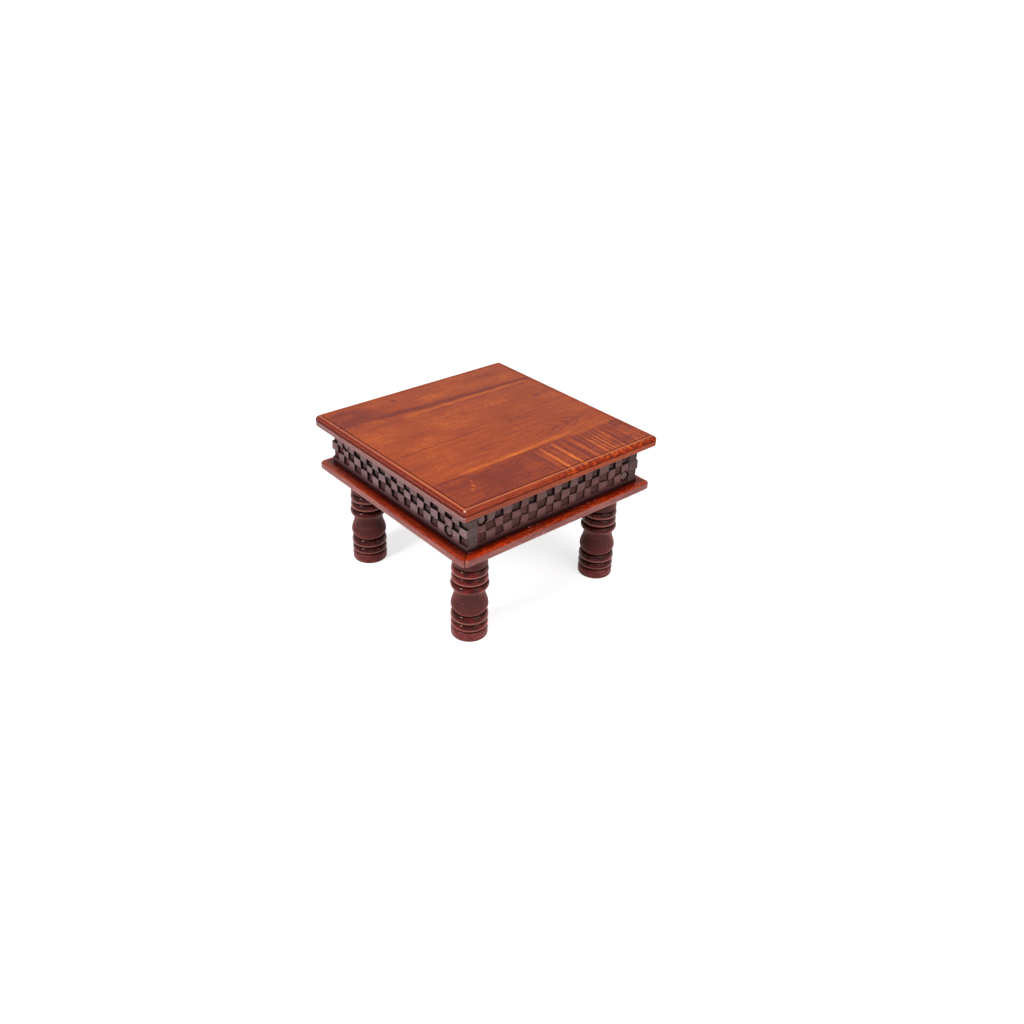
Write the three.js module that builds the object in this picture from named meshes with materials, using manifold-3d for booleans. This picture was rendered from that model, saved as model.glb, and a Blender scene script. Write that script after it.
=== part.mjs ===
// Bajot: a low square table with a moulded top, a carved box apron, a mitred base frame and turned legs.
// Millimetres, +Z up, the front faces -Y, and the origin is on the floor under the middle of the top.

import * as THREE from "three";
import { mergeVertices } from "three/addons/utils/BufferGeometryUtils.js";
import Module from "manifold-3d";

const wasm = await Module();
wasm.setup();

// Plan of the top, and the heights that stack up to 203.2
const topLength = 304.8;
const topWidth = 304.8;
const topThickness = 12.8;
const apronHeight = 50.9;
const baseThickness = 11.2;
const legHeight = 128;

// Gaps where pieces meet, and the overrun of every cut
const glueLine = 0.1;
const seatGap = 0.2;
const boreClearance = 0.25;
const cutOverrun = 2;

// Top: three boards glued edge to edge, with one moulding worked round all four edges
const frontBoardWidth = 67.4;
const backBoardWidth = 76.7;
const topCornerRadius = 3.2;
const leastCornerRadius = 0.4;
const cornerSteps = 4;
const mouldingWidth = 8.4;
const quirkWidth = 1.2;
const quirkDepth = 0.9;
const ovoloHeight = 2.6;
const ovoloSteps = 4;
const creaseInset = 1.2;
const creaseHeight = 1;
const fasciaInset = 0.2;
const topUnderEdge = 1.6;

// Apron: four boards on edge, the side boards full length and the other two between them
const apronInset = 15.4;
const apronThickness = 16;

// Carving: rows of sunk and standing blocks in chequer order
const carvingRows = 3;
const blockWidth = 12.9;
const blockHeight = 10.9;
const carvingDepth = 3.5;
const carvingBottomMargin = 7.6;
const carvingSpread = 0.25;

// Base frame: four mitred strips with a rounded nose
const baseInset = 2.9;
const baseStripWidth = 64;
const mitreGap = 0.3;
const noseRadius = 4;
const noseSteps = 4;
const noseUnderInset = 3;
const noseUnderHeight = 3.2;

// Corner blocks and the cleats along the side boards
const blockSize = 36;
const cleatWidth = 16;
const cleatHeight = 14;

// Legs, from the foot up: heights of the turned members
const legInset = 45.4;
const legSides = 18;
const footHeight = 12.8;
const grooveHeight = 0.8;
const lowBeadHeight = 9.4;
const kneeBeadHeight = 11.4;
const bellyHeight = 25.2;
const throatHeight = 7.8;
const shoulderHeight = 8.5;
const midBeadHeight = 10;
const highBeadHeight = 9.9;

// Legs: radii of the same members
const footRadius = 22.5;
const footEdge = 2.4;
const lipEdge = 1.2;
const grooveRadius = 20.2;
const lowBeadRadius = 22.6;
const kneeBeadRadius = 22.8;
const bellyRadius = 22.5;
const waistRadius = 18.6;
const creaseRadius = 21.2;
const shoulderRadius = 23.2;
const midBeadRadius = 22.1;
const highBeadRadius = 22.1;
const neckRadius = 21.1;

// Where the belly and the shoulder are widest, as shares of their own heights
const bellyWidestShare = 0.29;
const shoulderWidestShare = 0.46;

// Leg bolts: a length in the leg, the base strips, and a length in the corner block
const boltRadius = 4;
const boltInLeg = 30;
const boltInBlock = 26;
const boltPoint = 5;
const boltEndChamfer = 1;
const boltSides = 12;

// Wood screws with flat-seated round heads
const screwRadius = 1.8;
const screwHeadRadius = 3.6;
const screwHeadHeight = 2.4;
const screwPoint = 3;
const screwSides = 8;
const baseScrewSpread = 70;
const baseScrewSink = 3;
const baseScrewInApron = 18;
const topScrewFromBlockFace = 9;
const topScrewSink = 25;
const topScrewInTop = 8.5;
const cleatScrewSpread = 45;
const cleatScrewSink = 3;
const apronScrewToBolt = 1.5;

// Round wooden plugs over the apron screws, each in a round clearing of the carving
const plugRadius = 4.9;
const plugSides = 14;
const plugBoreDepth = 6;
const plugProud = 2.7;
const plugFit = 0.15;
const plugClearing = 1.6;
const plugGapOverHead = 0.3;

// Heights of the stack
const baseBottom = legHeight + glueLine;
const baseTop = baseBottom + baseThickness;
const apronBottom = baseTop + glueLine;
const apronTop = apronBottom + apronHeight;
const topBottom = apronTop + glueLine;
const topSurface = topBottom + topThickness;

// Half sizes in plan, along X and along Y
const topHalf = { x: topLength / 2, y: topWidth / 2 };
const inset = (half, by) => ({ x: half.x - by, y: half.y - by });
const apronHalf = inset(topHalf, apronInset);
const apronInner = inset(apronHalf, apronThickness);
const blockOuter = inset(apronInner, glueLine);
const blockInner = inset(blockOuter, blockSize);
const baseHalf = inset(topHalf, baseInset);
const legHalf = inset(topHalf, legInset);

// The four sides, turned a quarter each about Z from the front; reach is outwards, run is half the length
const sides = [
  { name: "front", half: "y", across: "x", between: true, plugColumn: 0 },
  { name: "right", half: "x", across: "y", between: false, plugColumn: 2 },
  { name: "back", half: "y", across: "x", between: true, plugColumn: 0 },
  { name: "left", half: "x", across: "y", between: false, plugColumn: 2 },
].map((side, index) => ({ ...side, turn: new THREE.Matrix4().makeRotationZ((index * Math.PI) / 2) }));

// The four corners, in the same order of turning
const corners = [
  { name: "front_left", x: -1, y: -1 },
  { name: "front_right", x: 1, y: -1 },
  { name: "back_right", x: 1, y: 1 },
  { name: "back_left", x: -1, y: 1 },
];

// Solids: a three.js geometry as a manifold, and back
function toSolid(geometry) {
  const bare = geometry.clone();
  bare.deleteAttribute("normal");
  bare.deleteAttribute("uv");
  const merged = mergeVertices(bare);
  return new wasm.Manifold(
    new wasm.Mesh({
      numProp: 3,
      vertProperties: new Float32Array(merged.attributes.position.array),
      triVerts: new Uint32Array(merged.index.array),
    }),
  );
}

function toGeometry(solid) {
  const mesh = solid.getMesh();
  const geometry = new THREE.BufferGeometry();
  geometry.setAttribute("position", new THREE.BufferAttribute(new Float32Array(mesh.vertProperties), 3));
  geometry.setIndex(new THREE.BufferAttribute(new Uint32Array(mesh.triVerts), 1));
  geometry.computeVertexNormals();
  return geometry;
}

const join = (solids) => solids.reduce((whole, solid) => whole.add(solid));

// A box between two corners
function boxBetween(low, high) {
  const size = new THREE.Vector3().subVectors(high, low);
  const middle = new THREE.Vector3().addVectors(low, high).divideScalar(2);
  return new THREE.BoxGeometry(size.x, size.y, size.z).translate(middle.x, middle.y, middle.z);
}

// Turns a piece made along +Z so that it points along a direction, with its origin at a point
function aim(direction, point) {
  const turn = new THREE.Quaternion().setFromUnitVectors(new THREE.Vector3(0, 0, 1), direction);
  return new THREE.Matrix4().compose(point, turn, new THREE.Vector3(1, 1, 1));
}

// A turned piece: a profile of [radius, height] pairs from the axis round to the axis
function turned(profile, steps) {
  const points = profile.map(([radius, height]) => new THREE.Vector2(radius, height));
  return new THREE.LatheGeometry(points, steps).rotateX(Math.PI / 2);
}

// A round bore along a direction from a point, with its flats where a turned piece of as many sides has them
function bore(radius, point, direction, start, end, steps) {
  const shaft = new THREE.CylinderGeometry(radius, radius, end - start, steps).rotateX(Math.PI / 2);
  shaft.translate(0, 0, (start + end) / 2);
  return toSolid(shaft.applyMatrix4(aim(direction, point)));
}

// Rings with equal counts of points, joined into one closed solid with a fan over each end
function loft(rings) {
  const count = rings[0].length;
  const ends = [rings[0], rings[rings.length - 1]];
  const middles = ends.map((ring) => {
    const sum = ring.reduce((total, point) => total.add(point), new THREE.Vector3());
    return sum.divideScalar(count);
  });
  const points = [...rings.flat(), ...middles];
  const faces = [];
  const firstMiddle = rings.length * count;
  const lastRing = (rings.length - 1) * count;
  for (let step = 0; step < count; step += 1) {
    const next = (step + 1) % count;
    for (let ring = 0; ring < lastRing; ring += count) {
      faces.push(ring + step, ring + next, ring + count + next);
      faces.push(ring + step, ring + count + next, ring + count + step);
    }
    faces.push(firstMiddle, next, step);
    faces.push(firstMiddle + 1, lastRing + step, lastRing + next);
  }
  const geometry = new THREE.BufferGeometry().setFromPoints(points);
  geometry.setIndex(faces);
  geometry.computeVertexNormals();
  return geometry;
}

// Wood screws: the seat of the head, the way the point goes, the length below the head and the bore above it
function screw(name, seat, direction, length, sink) {
  return { name, seat, direction, length, sink };
}

const alongZ = new THREE.Vector3(0, 0, 1);
const screws = [];
const plugs = [];

// Carving of one side: an odd count of columns, and the middle of a cell
function carvingOf(side) {
  const run = side.between ? apronInner[side.across] - glueLine : apronHalf[side.across];
  const columns = 2 * Math.round((2 * run / blockWidth - 1) / 2) + 1;
  const pitch = (2 * run) / columns;
  return {
    run,
    reach: apronHalf[side.half],
    columns,
    pitch,
    left: (column) => -run + column * pitch,
    low: (row) => apronBottom + carvingBottomMargin + (carvingRows - 1 - row) * blockHeight,
  };
}

// Apron screws and plugs: one in the top row at the left end of each side, one in the bottom row at its right
for (const side of sides) {
  const carving = carvingOf(side);
  const outward = new THREE.Vector3(0, -1, 0).transformDirection(side.turn);
  const inward = outward.clone().negate();
  const floor = carving.reach - carvingDepth;
  const seatReach = floor - plugBoreDepth;
  const boltFace = legHalf[side.half] + boltRadius + boreClearance;
  const ends = [
    { name: "left_end", row: 0, column: side.plugColumn },
    { name: "right_end", row: carvingRows - 1, column: carving.columns - 1 - side.plugColumn },
  ];
  for (const end of ends) {
    const x = carving.left(end.column) + carving.pitch / 2;
    const z = carving.low(end.row) + blockHeight / 2;
    const seat = new THREE.Vector3(x, -seatReach, z).applyMatrix4(side.turn);
    const length = seatReach - boltFace - apronScrewToBolt;
    screws.push(screw(`apron_screw_${side.name}_${end.name}`, seat, inward, length, 0));
    plugs.push({ name: `screw_plug_${side.name}_${end.name}`, side, seat, outward });
  }
}

// Base screws, from below through each strip into the apron board over it
for (const side of sides) {
  const reach = apronHalf[side.half] - (apronThickness + carvingDepth) / 2;
  const length = baseThickness - baseScrewSink + glueLine + baseScrewInApron;
  for (const [end, sign] of [["left_end", -1], ["right_end", 1]]) {
    const seat = new THREE.Vector3(sign * baseScrewSpread, -reach, baseBottom + baseScrewSink);
    seat.applyMatrix4(side.turn);
    screws.push(screw(`base_screw_${side.name}_${end}`, seat, alongZ, length, baseScrewSink));
  }
}

// Top screws, up through each corner block into the top
for (const corner of corners) {
  const x = corner.x * (blockInner.x + topScrewFromBlockFace);
  const y = corner.y * (blockInner.y + topScrewFromBlockFace);
  const seat = new THREE.Vector3(x, y, apronBottom + topScrewSink);
  const length = apronHeight - topScrewSink + glueLine + topScrewInTop;
  screws.push(screw(`top_screw_${corner.name}`, seat, alongZ, length, topScrewSink));
}

// Cleat screws, up through each cleat into the middle board
const cleatMiddle = blockOuter.x - cleatWidth / 2;
for (const [side, signX] of [["left", -1], ["right", 1]]) {
  for (const [end, signY] of [["front", -1], ["back", 1]]) {
    const seatHeight = apronTop - cleatHeight + cleatScrewSink;
    const seat = new THREE.Vector3(signX * cleatMiddle, signY * cleatScrewSpread, seatHeight);
    const length = cleatHeight - cleatScrewSink + glueLine + topScrewInTop;
    screws.push(screw(`cleat_screw_${side}_${end}`, seat, alongZ, length, cleatScrewSink));
  }
}

// Everything that is drilled: screws, leg bolts and plugs
const drilling = join([
  ...screws.flatMap(({ seat, direction, length, sink }) => {
    const shank = bore(screwRadius + boreClearance, seat, direction, -cutOverrun, length + seatGap, screwSides);
    const headBore = screwHeadRadius + boreClearance;
    return sink ? [shank, bore(headBore, seat, direction, -sink - cutOverrun, 0, screwSides)] : [shank];
  }),
  ...corners.map((corner) => {
    const foot = new THREE.Vector3(corner.x * legHalf.x, corner.y * legHalf.y, baseBottom);
    const top = apronBottom + boltInBlock + seatGap - baseBottom;
    return bore(boltRadius + boreClearance, foot, alongZ, -cutOverrun, top, boltSides);
  }),
  ...plugs.flatMap(({ seat, outward }) => {
    const toFace = plugBoreDepth + carvingDepth + cutOverrun;
    return [
      bore(plugRadius + plugFit, seat, outward, 0, toFace, plugSides),
      bore(plugRadius + plugClearing, seat, outward, plugBoreDepth, toFace, plugSides),
    ];
  }),
]);

const drill = (geometry) => toGeometry(toSolid(geometry).subtract(drilling));

// One ring of the top: a rounded rectangle, counter-clockwise from above
function topRing(ringInset, height) {
  const half = inset(topHalf, ringInset);
  const radius = Math.max(topCornerRadius - ringInset, leastCornerRadius);
  return corners.flatMap((corner, index) =>
    Array.from({ length: cornerSteps + 1 }, (_, step) => {
      const angle = Math.PI + (index + step / cornerSteps) * (Math.PI / 2);
      return new THREE.Vector3(
        corner.x * (half.x - radius) + radius * Math.cos(angle),
        corner.y * (half.y - radius) + radius * Math.sin(angle),
        topBottom + height,
      );
    }),
  );
}

// Top moulding, from the under edge up: fascia, crease, ovolo and the quirk that bounds the flat
function topMoulding() {
  const ovoloInset = mouldingWidth - quirkWidth;
  const ovoloFoot = topThickness - ovoloHeight;
  const crease = ovoloFoot - creaseHeight;
  const ovolo = Array.from({ length: ovoloSteps + 1 }, (_, step) => {
    const angle = (step / ovoloSteps) * (Math.PI / 2);
    return [ovoloInset * (1 - Math.cos(angle)), ovoloFoot + ovoloHeight * Math.sin(angle)];
  });
  return [
    [topUnderEdge, 0],
    [fasciaInset, topUnderEdge],
    [fasciaInset, crease - creaseInset / 2],
    [creaseInset, crease],
    ...ovolo,
    [mouldingWidth - quirkWidth / 2, topThickness - quirkDepth],
    [mouldingWidth, topThickness],
  ];
}

function topBoards() {
  const whole = toSolid(loft(topMoulding().map(([ringInset, height]) => topRing(ringInset, height))));
  const frontSeam = -topHalf.y + frontBoardWidth;
  const backSeam = topHalf.y - backBoardWidth;
  const spans = [
    { name: "top_board_front", low: -topHalf.y - cutOverrun, high: frontSeam - glueLine / 2 },
    { name: "top_board_middle", low: frontSeam + glueLine / 2, high: backSeam - glueLine / 2 },
    { name: "top_board_back", low: backSeam + glueLine / 2, high: topHalf.y + cutOverrun },
  ];
  return spans.map(({ name, low, high }) => {
    const side = topHalf.x + cutOverrun;
    const slice = boxBetween(
      new THREE.Vector3(-side, low, topBottom - cutOverrun),
      new THREE.Vector3(side, high, topSurface + cutOverrun),
    );
    return { name, geometry: toGeometry(whole.intersect(toSolid(slice)).subtract(drilling)) };
  });
}

// Apron board of one side, with the sunk cells of its carving
function apronBoard(side) {
  const { run, reach, columns, pitch, left, low } = carvingOf(side);
  const board = boxBetween(
    new THREE.Vector3(-run, -reach, apronBottom),
    new THREE.Vector3(run, -reach + apronThickness, apronTop),
  );
  const cells = [];
  for (let row = 0; row < carvingRows; row += 1) {
    for (let column = row % 2; column < columns; column += 2) {
      const first = column === 0 ? -cutOverrun : -carvingSpread;
      const last = column === columns - 1 ? cutOverrun : carvingSpread;
      const cell = boxBetween(
        new THREE.Vector3(left(column) + first, -reach - cutOverrun, low(row) - carvingSpread),
        new THREE.Vector3(left(column + 1) + last, -reach + carvingDepth, low(row) + blockHeight + carvingSpread),
      );
      cells.push(toSolid(cell));
    }
  }
  const carved = toGeometry(toSolid(board).subtract(join(cells)));
  return drill(carved.applyMatrix4(side.turn));
}

// Base strip of one side: one section, mitred at both ends
function baseStrip(side) {
  const outer = baseHalf[side.half];
  const longer = baseHalf[side.across] - outer;
  const nose = Array.from({ length: noseSteps + 1 }, (_, step) => {
    const angle = (step / noseSteps) * (Math.PI / 2);
    return [noseRadius * (1 - Math.sin(angle)), baseThickness - noseRadius * (1 - Math.cos(angle))];
  });
  const section = [[baseStripWidth, baseThickness], ...nose, [0, noseUnderHeight], [noseUnderInset, 0], [baseStripWidth, 0]];
  const ring = (sign) =>
    section.map(([back, height]) => {
      const end = outer - back + longer - mitreGap / 2;
      return new THREE.Vector3(sign * end, -outer + back, baseBottom + height);
    });
  return drill(loft([ring(-1), ring(1)]).applyMatrix4(side.turn));
}

// A bead between two grooves, as half an ellipse in section
function bead(foot, height, radius) {
  const steps = 4;
  return Array.from({ length: steps + 1 }, (_, step) => {
    const angle = (step / steps) * Math.PI;
    return [grooveRadius + (radius - grooveRadius) * Math.sin(angle), foot + (height * (1 - Math.cos(angle))) / 2];
  });
}

// Leg: the profile climbs from the middle of the foot to the neck, and ends down the bolt's blind hole
function legProfile() {
  const profile = [[0, 0], [footRadius - footEdge, 0], [footRadius, footEdge]];
  profile.push([footRadius, footHeight - lipEdge], [footRadius - lipEdge, footHeight]);
  let height = footHeight + grooveHeight;
  profile.push(...bead(height, lowBeadHeight, lowBeadRadius));
  height += lowBeadHeight + grooveHeight;
  profile.push(...bead(height, kneeBeadHeight, kneeBeadRadius));
  height += kneeBeadHeight + grooveHeight;

  const bellySteps = 6;
  for (let step = 0; step < bellySteps; step += 1) {
    const share = step / bellySteps;
    const above = Math.max(share - bellyWidestShare, 0) / (1 - bellyWidestShare);
    const below = Math.max(bellyWidestShare - share, 0) / bellyWidestShare;
    const upper = ((bellyRadius - waistRadius) * (1 - Math.cos(Math.PI * above))) / 2;
    const lower = (bellyRadius - grooveRadius) * below * below;
    profile.push([bellyRadius - upper - lower, height + share * bellyHeight]);
  }
  height += bellyHeight;

  const throatSteps = 3;
  for (let step = 0; step < throatSteps; step += 1) {
    const share = step / throatSteps;
    profile.push([waistRadius + (creaseRadius - waistRadius) * share * share, height + share * throatHeight]);
  }
  height += throatHeight;

  const shoulderSteps = 4;
  for (let step = 0; step <= shoulderSteps; step += 1) {
    const share = step / shoulderSteps;
    const below = Math.max(shoulderWidestShare - share, 0) / shoulderWidestShare;
    const above = Math.max(share - shoulderWidestShare, 0) / (1 - shoulderWidestShare);
    const lower = (shoulderRadius - creaseRadius) * (1 - Math.sqrt(1 - below * below));
    const upper = (shoulderRadius - grooveRadius) * (1 - Math.sqrt(1 - above * above));
    profile.push([shoulderRadius - lower - upper, height + share * shoulderHeight]);
  }
  height += shoulderHeight + grooveHeight;
  profile.push(...bead(height, midBeadHeight, midBeadRadius));
  height += midBeadHeight + grooveHeight;
  profile.push(...bead(height, highBeadHeight, highBeadRadius));
  height += highBeadHeight + grooveHeight;

  const holeRadius = boltRadius + boreClearance;
  const holeFloor = legHeight - boltInLeg - seatGap;
  profile.push([neckRadius, height + lipEdge], [neckRadius, legHeight]);
  profile.push([holeRadius, legHeight], [holeRadius, holeFloor + boltPoint], [0, holeFloor]);
  return profile;
}

// Leg bolt, from its point in the leg to its chamfered end in the corner block
function boltProfile() {
  const length = boltInLeg + (apronBottom - legHeight) + boltInBlock;
  return [
    [0, 0],
    [boltRadius, boltPoint],
    [boltRadius, length - boltEndChamfer],
    [boltRadius - boltEndChamfer, length],
    [0, length],
  ];
}

// Screw, with the seat of its head at height zero and its point up
function screwProfile(length) {
  return [
    [0, -screwHeadHeight - seatGap],
    [screwHeadRadius, -screwHeadHeight - seatGap],
    [screwHeadRadius, -seatGap],
    [screwRadius, -seatGap],
    [screwRadius, length - screwPoint],
    [0, length],
  ];
}

// Plug, from just over the screw's head to a little proud of the sunk cell
function plugProfile() {
  const low = seatGap + screwHeadHeight + plugGapOverHead;
  const high = plugBoreDepth + plugProud;
  return [[0, low], [plugRadius, low], [plugRadius, high], [0, high]];
}

// Corner block, with one edge in the corner of the apron boards
function cornerBlock(corner) {
  const near = new THREE.Vector3(corner.x * blockInner.x, corner.y * blockInner.y, apronBottom);
  const far = new THREE.Vector3(corner.x * blockOuter.x, corner.y * blockOuter.y, apronTop);
  return drill(boxBetween(near.clone().min(far), near.clone().max(far)));
}

// Cleat between two corner blocks, glued inside a side board just under the top
function cleat(sign) {
  const run = blockInner.y - glueLine;
  const near = new THREE.Vector3(sign * (blockOuter.x - cleatWidth), -run, apronTop - cleatHeight);
  const far = new THREE.Vector3(sign * blockOuter.x, run, apronTop);
  return drill(boxBetween(near.clone().min(far), near.clone().max(far)));
}

// Finishes
const finishes = {
  topWood: { color: 0xa8502f, roughness: 0.38, metalness: 0 },
  baseWood: { color: 0x8c3318, roughness: 0.3, metalness: 0 },
  carvedWood: { color: 0x5d423c, roughness: 0.62, metalness: 0 },
  legWood: { color: 0x5e2b22, roughness: 0.4, metalness: 0 },
  rawWood: { color: 0x9a7049, roughness: 0.75, metalness: 0 },
  steel: { color: 0x9a9c9e, roughness: 0.35, metalness: 1 },
};

const table = new THREE.Group();

function addPiece(name, geometry, finish) {
  const piece = new THREE.Mesh(geometry, new THREE.MeshStandardMaterial(finishes[finish]));
  piece.name = name;
  table.add(piece);
  return piece;
}

// Placing a turned piece at a point, along a direction
function addTurned(name, geometry, finish, point, direction) {
  const piece = addPiece(name, geometry, finish);
  piece.position.copy(point);
  piece.quaternion.setFromUnitVectors(alongZ, direction);
}

for (const { name, geometry } of topBoards()) addPiece(name, geometry, "topWood");
for (const side of sides) addPiece(`apron_${side.name}`, apronBoard(side), "carvedWood");
for (const side of sides) addPiece(`base_strip_${side.name}`, baseStrip(side), "baseWood");
for (const corner of corners) {
  addPiece(`corner_block_${corner.name}`, cornerBlock(corner), "rawWood");
  const foot = new THREE.Vector3(corner.x * legHalf.x, corner.y * legHalf.y, 0);
  addTurned(`leg_${corner.name}`, turned(legProfile(), legSides), "legWood", foot, alongZ);
  const point = foot.clone().setZ(legHeight - boltInLeg);
  addTurned(`leg_bolt_${corner.name}`, turned(boltProfile(), boltSides), "steel", point, alongZ);
}
addPiece("cleat_left", cleat(-1), "rawWood");
addPiece("cleat_right", cleat(1), "rawWood");
for (const { name, seat, direction, length } of screws) {
  addTurned(name, turned(screwProfile(length), screwSides), "steel", seat, direction);
}
for (const { name, seat, outward } of plugs) {
  addTurned(name, turned(plugProfile(), plugSides), "carvedWood", seat, outward);
}

export default table;
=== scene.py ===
"""The looks of a bajot low table: moulded top, carved apron, mitred base frame and turned legs."""
import contextlib
import math

import bmesh
import bpy
import numpy as np
from mathutils import Matrix, Vector, noise


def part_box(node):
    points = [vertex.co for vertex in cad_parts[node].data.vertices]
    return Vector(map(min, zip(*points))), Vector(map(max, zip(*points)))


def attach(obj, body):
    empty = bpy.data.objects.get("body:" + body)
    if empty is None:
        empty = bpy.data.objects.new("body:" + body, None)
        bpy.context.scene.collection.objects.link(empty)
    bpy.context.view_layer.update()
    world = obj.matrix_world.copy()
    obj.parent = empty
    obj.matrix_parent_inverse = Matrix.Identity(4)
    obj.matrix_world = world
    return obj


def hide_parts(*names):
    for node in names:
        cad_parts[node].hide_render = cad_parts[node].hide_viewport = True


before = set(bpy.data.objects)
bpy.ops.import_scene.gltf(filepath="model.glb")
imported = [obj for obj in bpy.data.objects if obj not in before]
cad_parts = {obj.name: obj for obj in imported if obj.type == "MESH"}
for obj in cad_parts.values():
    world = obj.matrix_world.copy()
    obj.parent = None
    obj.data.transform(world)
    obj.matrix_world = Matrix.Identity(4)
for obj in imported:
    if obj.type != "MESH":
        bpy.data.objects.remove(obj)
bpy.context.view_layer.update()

# Lengths are in millimetres up to the moment a mesh or a light is made
MM = 0.001

SIDES = ("front", "right", "back", "left")
CORNERS = ("front_left", "front_right", "back_right", "back_left")
CORNER_SIGNS = ((-1, -1), (1, -1), (1, 1), (-1, 1))


def span(*nodes):
    """Lowest and highest corner of some nodes of the frame together, in millimetres."""
    boxes = [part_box(node) for node in nodes]
    low = np.min([box[0] for box in boxes], axis=0) / MM
    high = np.max([box[1] for box in boxes], axis=0) / MM
    return low, high


# Sizes that the frame gives
TOP_LOW, TOP_HIGH = span("top_board_front", "top_board_middle", "top_board_back")
TOP_HALF = TOP_HIGH[0]
TOP_THICKNESS = TOP_HIGH[2] - TOP_LOW[2]
FRONT_SEAM = (span("top_board_front")[1][1] + span("top_board_middle")[0][1]) / 2
BACK_SEAM = (span("top_board_middle")[1][1] + span("top_board_back")[0][1]) / 2
GLUE_LINE = span("top_board_middle")[0][1] - span("top_board_front")[1][1]
APRON_LOW, APRON_HIGH = span("apron_front", "apron_left")
APRON_FOOT = APRON_LOW[2]
APRON_REACH = -APRON_LOW[1]
APRON_THICKNESS = span("apron_front")[1][1] - APRON_LOW[1]
APRON_BACK = APRON_REACH - APRON_THICKNESS
BASE_LOW, BASE_HIGH = span("base_strip_front", "base_strip_right", "base_strip_back", "base_strip_left")
BASE_REACH = -BASE_LOW[1]
BASE_THICKNESS = BASE_HIGH[2] - BASE_LOW[2]
BASE_WIDTH = span("base_strip_front")[1][1] - BASE_LOW[1]
LEG_HEIGHT = span("leg_front_left")[1][2]

# Top: the moulding, as insets from the edge and heights over the under face
MOULD_UNDER = 1.6
MOULD_FASCIA = 0.2
MOULD_FASCIA_TOP = 6.4
FASCIA_SHARES = (0.4, 0.6, 0.8, 1)
MOULD_CREASE_INSET = 2.1
MOULD_CREASE = 7.4
MOULD_OVOLO_FOOT = 8.3
MOULD_OVOLO_INSET = 7.1
OVOLO_RISE = TOP_THICKNESS - MOULD_OVOLO_FOOT
MOULD_QUIRK = 7.9
MOULD_QUIRK_DEPTH = 1.3
MOULD_FLAT = 8.9
MOULD_SUPPORT = 1.2

# Top: how far the painted shade of its recesses, the rubbed arris with its painted highlight and the painted
# shade of the ovolo reach
CREASE_DARK_WIDTH = 0.9
QUIRK_DARK_OUTER = 0.95
QUIRK_DARK_WIDTH = 2.2
ARRIS_WEAR_WIDTH = 3.6
ARRIS_WEAR_FLATNESS = 1.5
OVOLO_SHADE_OVER = 0.3
OVOLO_SHADE_BELOW = 0.5
OVOLO_SHADE_FADE = 3
LEAST_OVOLO_SHADE = 0.3

# Top: worn corners and dented edges
WORN_CORNERS = (3.6, 6, 4.5, 9)
LEAST_CORNER = 0.5
CORNER_STEPS = 10
EDGE_STEP = 3.5
EDGE_DENT = 0.16
DENT_LENGTH = 14
DENT_SQUASH = 2

# Carving: three rows of sunk and standing blocks, cut by hand and so uneven
ROWS = 3
BLOCK_WIDTH = 12.9
BLOCK_HEIGHT = 10.9
BOTTOM_MARGIN = 7.6
ROW_TOP = APRON_FOOT + BOTTOM_MARGIN + ROWS * BLOCK_HEIGHT
CARVING_DEPTH = 3.5
ARRIS_OFFSETS = (-1.5, -0.7, -0.15, 0.15, 0.7, 1.5)
ARRIS_SHARES = (0, 0.03, 0.12, 0.88, 0.97, 1)
CELL_STEPS = 6
COLUMN_WANDER = 1.1
CUT_WANDER = 1
LEAF_LEAN = 2
DEPTH_WANDER = 0.35
FLOOR_TILT = 0.07
FACE_TILT = 0.03
FACE_LOW = 0.45
CHISEL_MARK = 0.22
CHISEL_MARK_ON_FACES = 0.25
CHISEL_LENGTH = 3.2
CHISEL_SQUASH = 1.6
END_WEAR = 0.4
END_WEAR_LENGTH = 0.35
ROW_DEPTHS = {
    "front": (3.6, 2.3, 1.9),
    "right": (3.5, 3, 2.6),
    "back": (3.5, 3.2, 3),
    "left": (3.7, 3.6, 3.5),
}
LEAF_COLUMNS = {"front": 1}
CARVING_SEED = 20

# Base frame: the section of a strip, its mitres and its worn tips
NOSE_RADIUS = 2.6
NOSE_UNDER_INSET = 2.2
NOSE_UNDER = 2.2
NOSE_STEPS = 8
NOSE_LOWER_EDGE = ((0, 0.8), (0.12, 0.25), (0.4, -0.15))
NOSE_FOOT_EDGE = ((-0.4, 0.35), (0, 0.1), (0.6, 0))
STRIP_STEP = 3.5
STRIP_DENT_RUN = 300
MITRE_GAP = 0.3
MITRE_GAPES = {"front": (0.9, 0.1), "right": (0, 0), "back": (0.1, 0), "left": (0, 0.25)}
MITRE_GAPE_DEPTH = 20
TIP_RADIUS = 6
TIP_START = 0.29
TIP_SHARE = 0.02
NEAR_TIP = (0, 0.12, 0.3, 0.55, 0.85, 1.25, 1.75, 2.3, 3, 3.9, 4.9)

# Legs: heights of the turned members from the foot up
LEG_FOOT = 12.8
LEG_GROOVE = 0.8
LEG_LOW_BEAD = 9.4
LEG_KNEE_BEAD = 11.4
LEG_BELLY = 25.2
LEG_THROAT = 7.8
LEG_SHOULDER = 8.5
LEG_MID_BEAD = 10
LEG_HIGH_BEAD = 9.9
LEG_KNEE = LEG_FOOT + LEG_LOW_BEAD + LEG_KNEE_BEAD

# Legs: radii of the same members
R_FOOT = 22.5
R_GROOVE = 19.3
R_LOW_BEAD = 22.6
R_KNEE_BEAD = 22.8
R_BELLY = 22.5
R_WAIST = 18.6
R_CREASE = 20.9
R_SHOULDER = 23.1
R_MID_BEAD = 22.1
R_HIGH_BEAD = 22.1
R_NECK = 21.1

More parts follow.
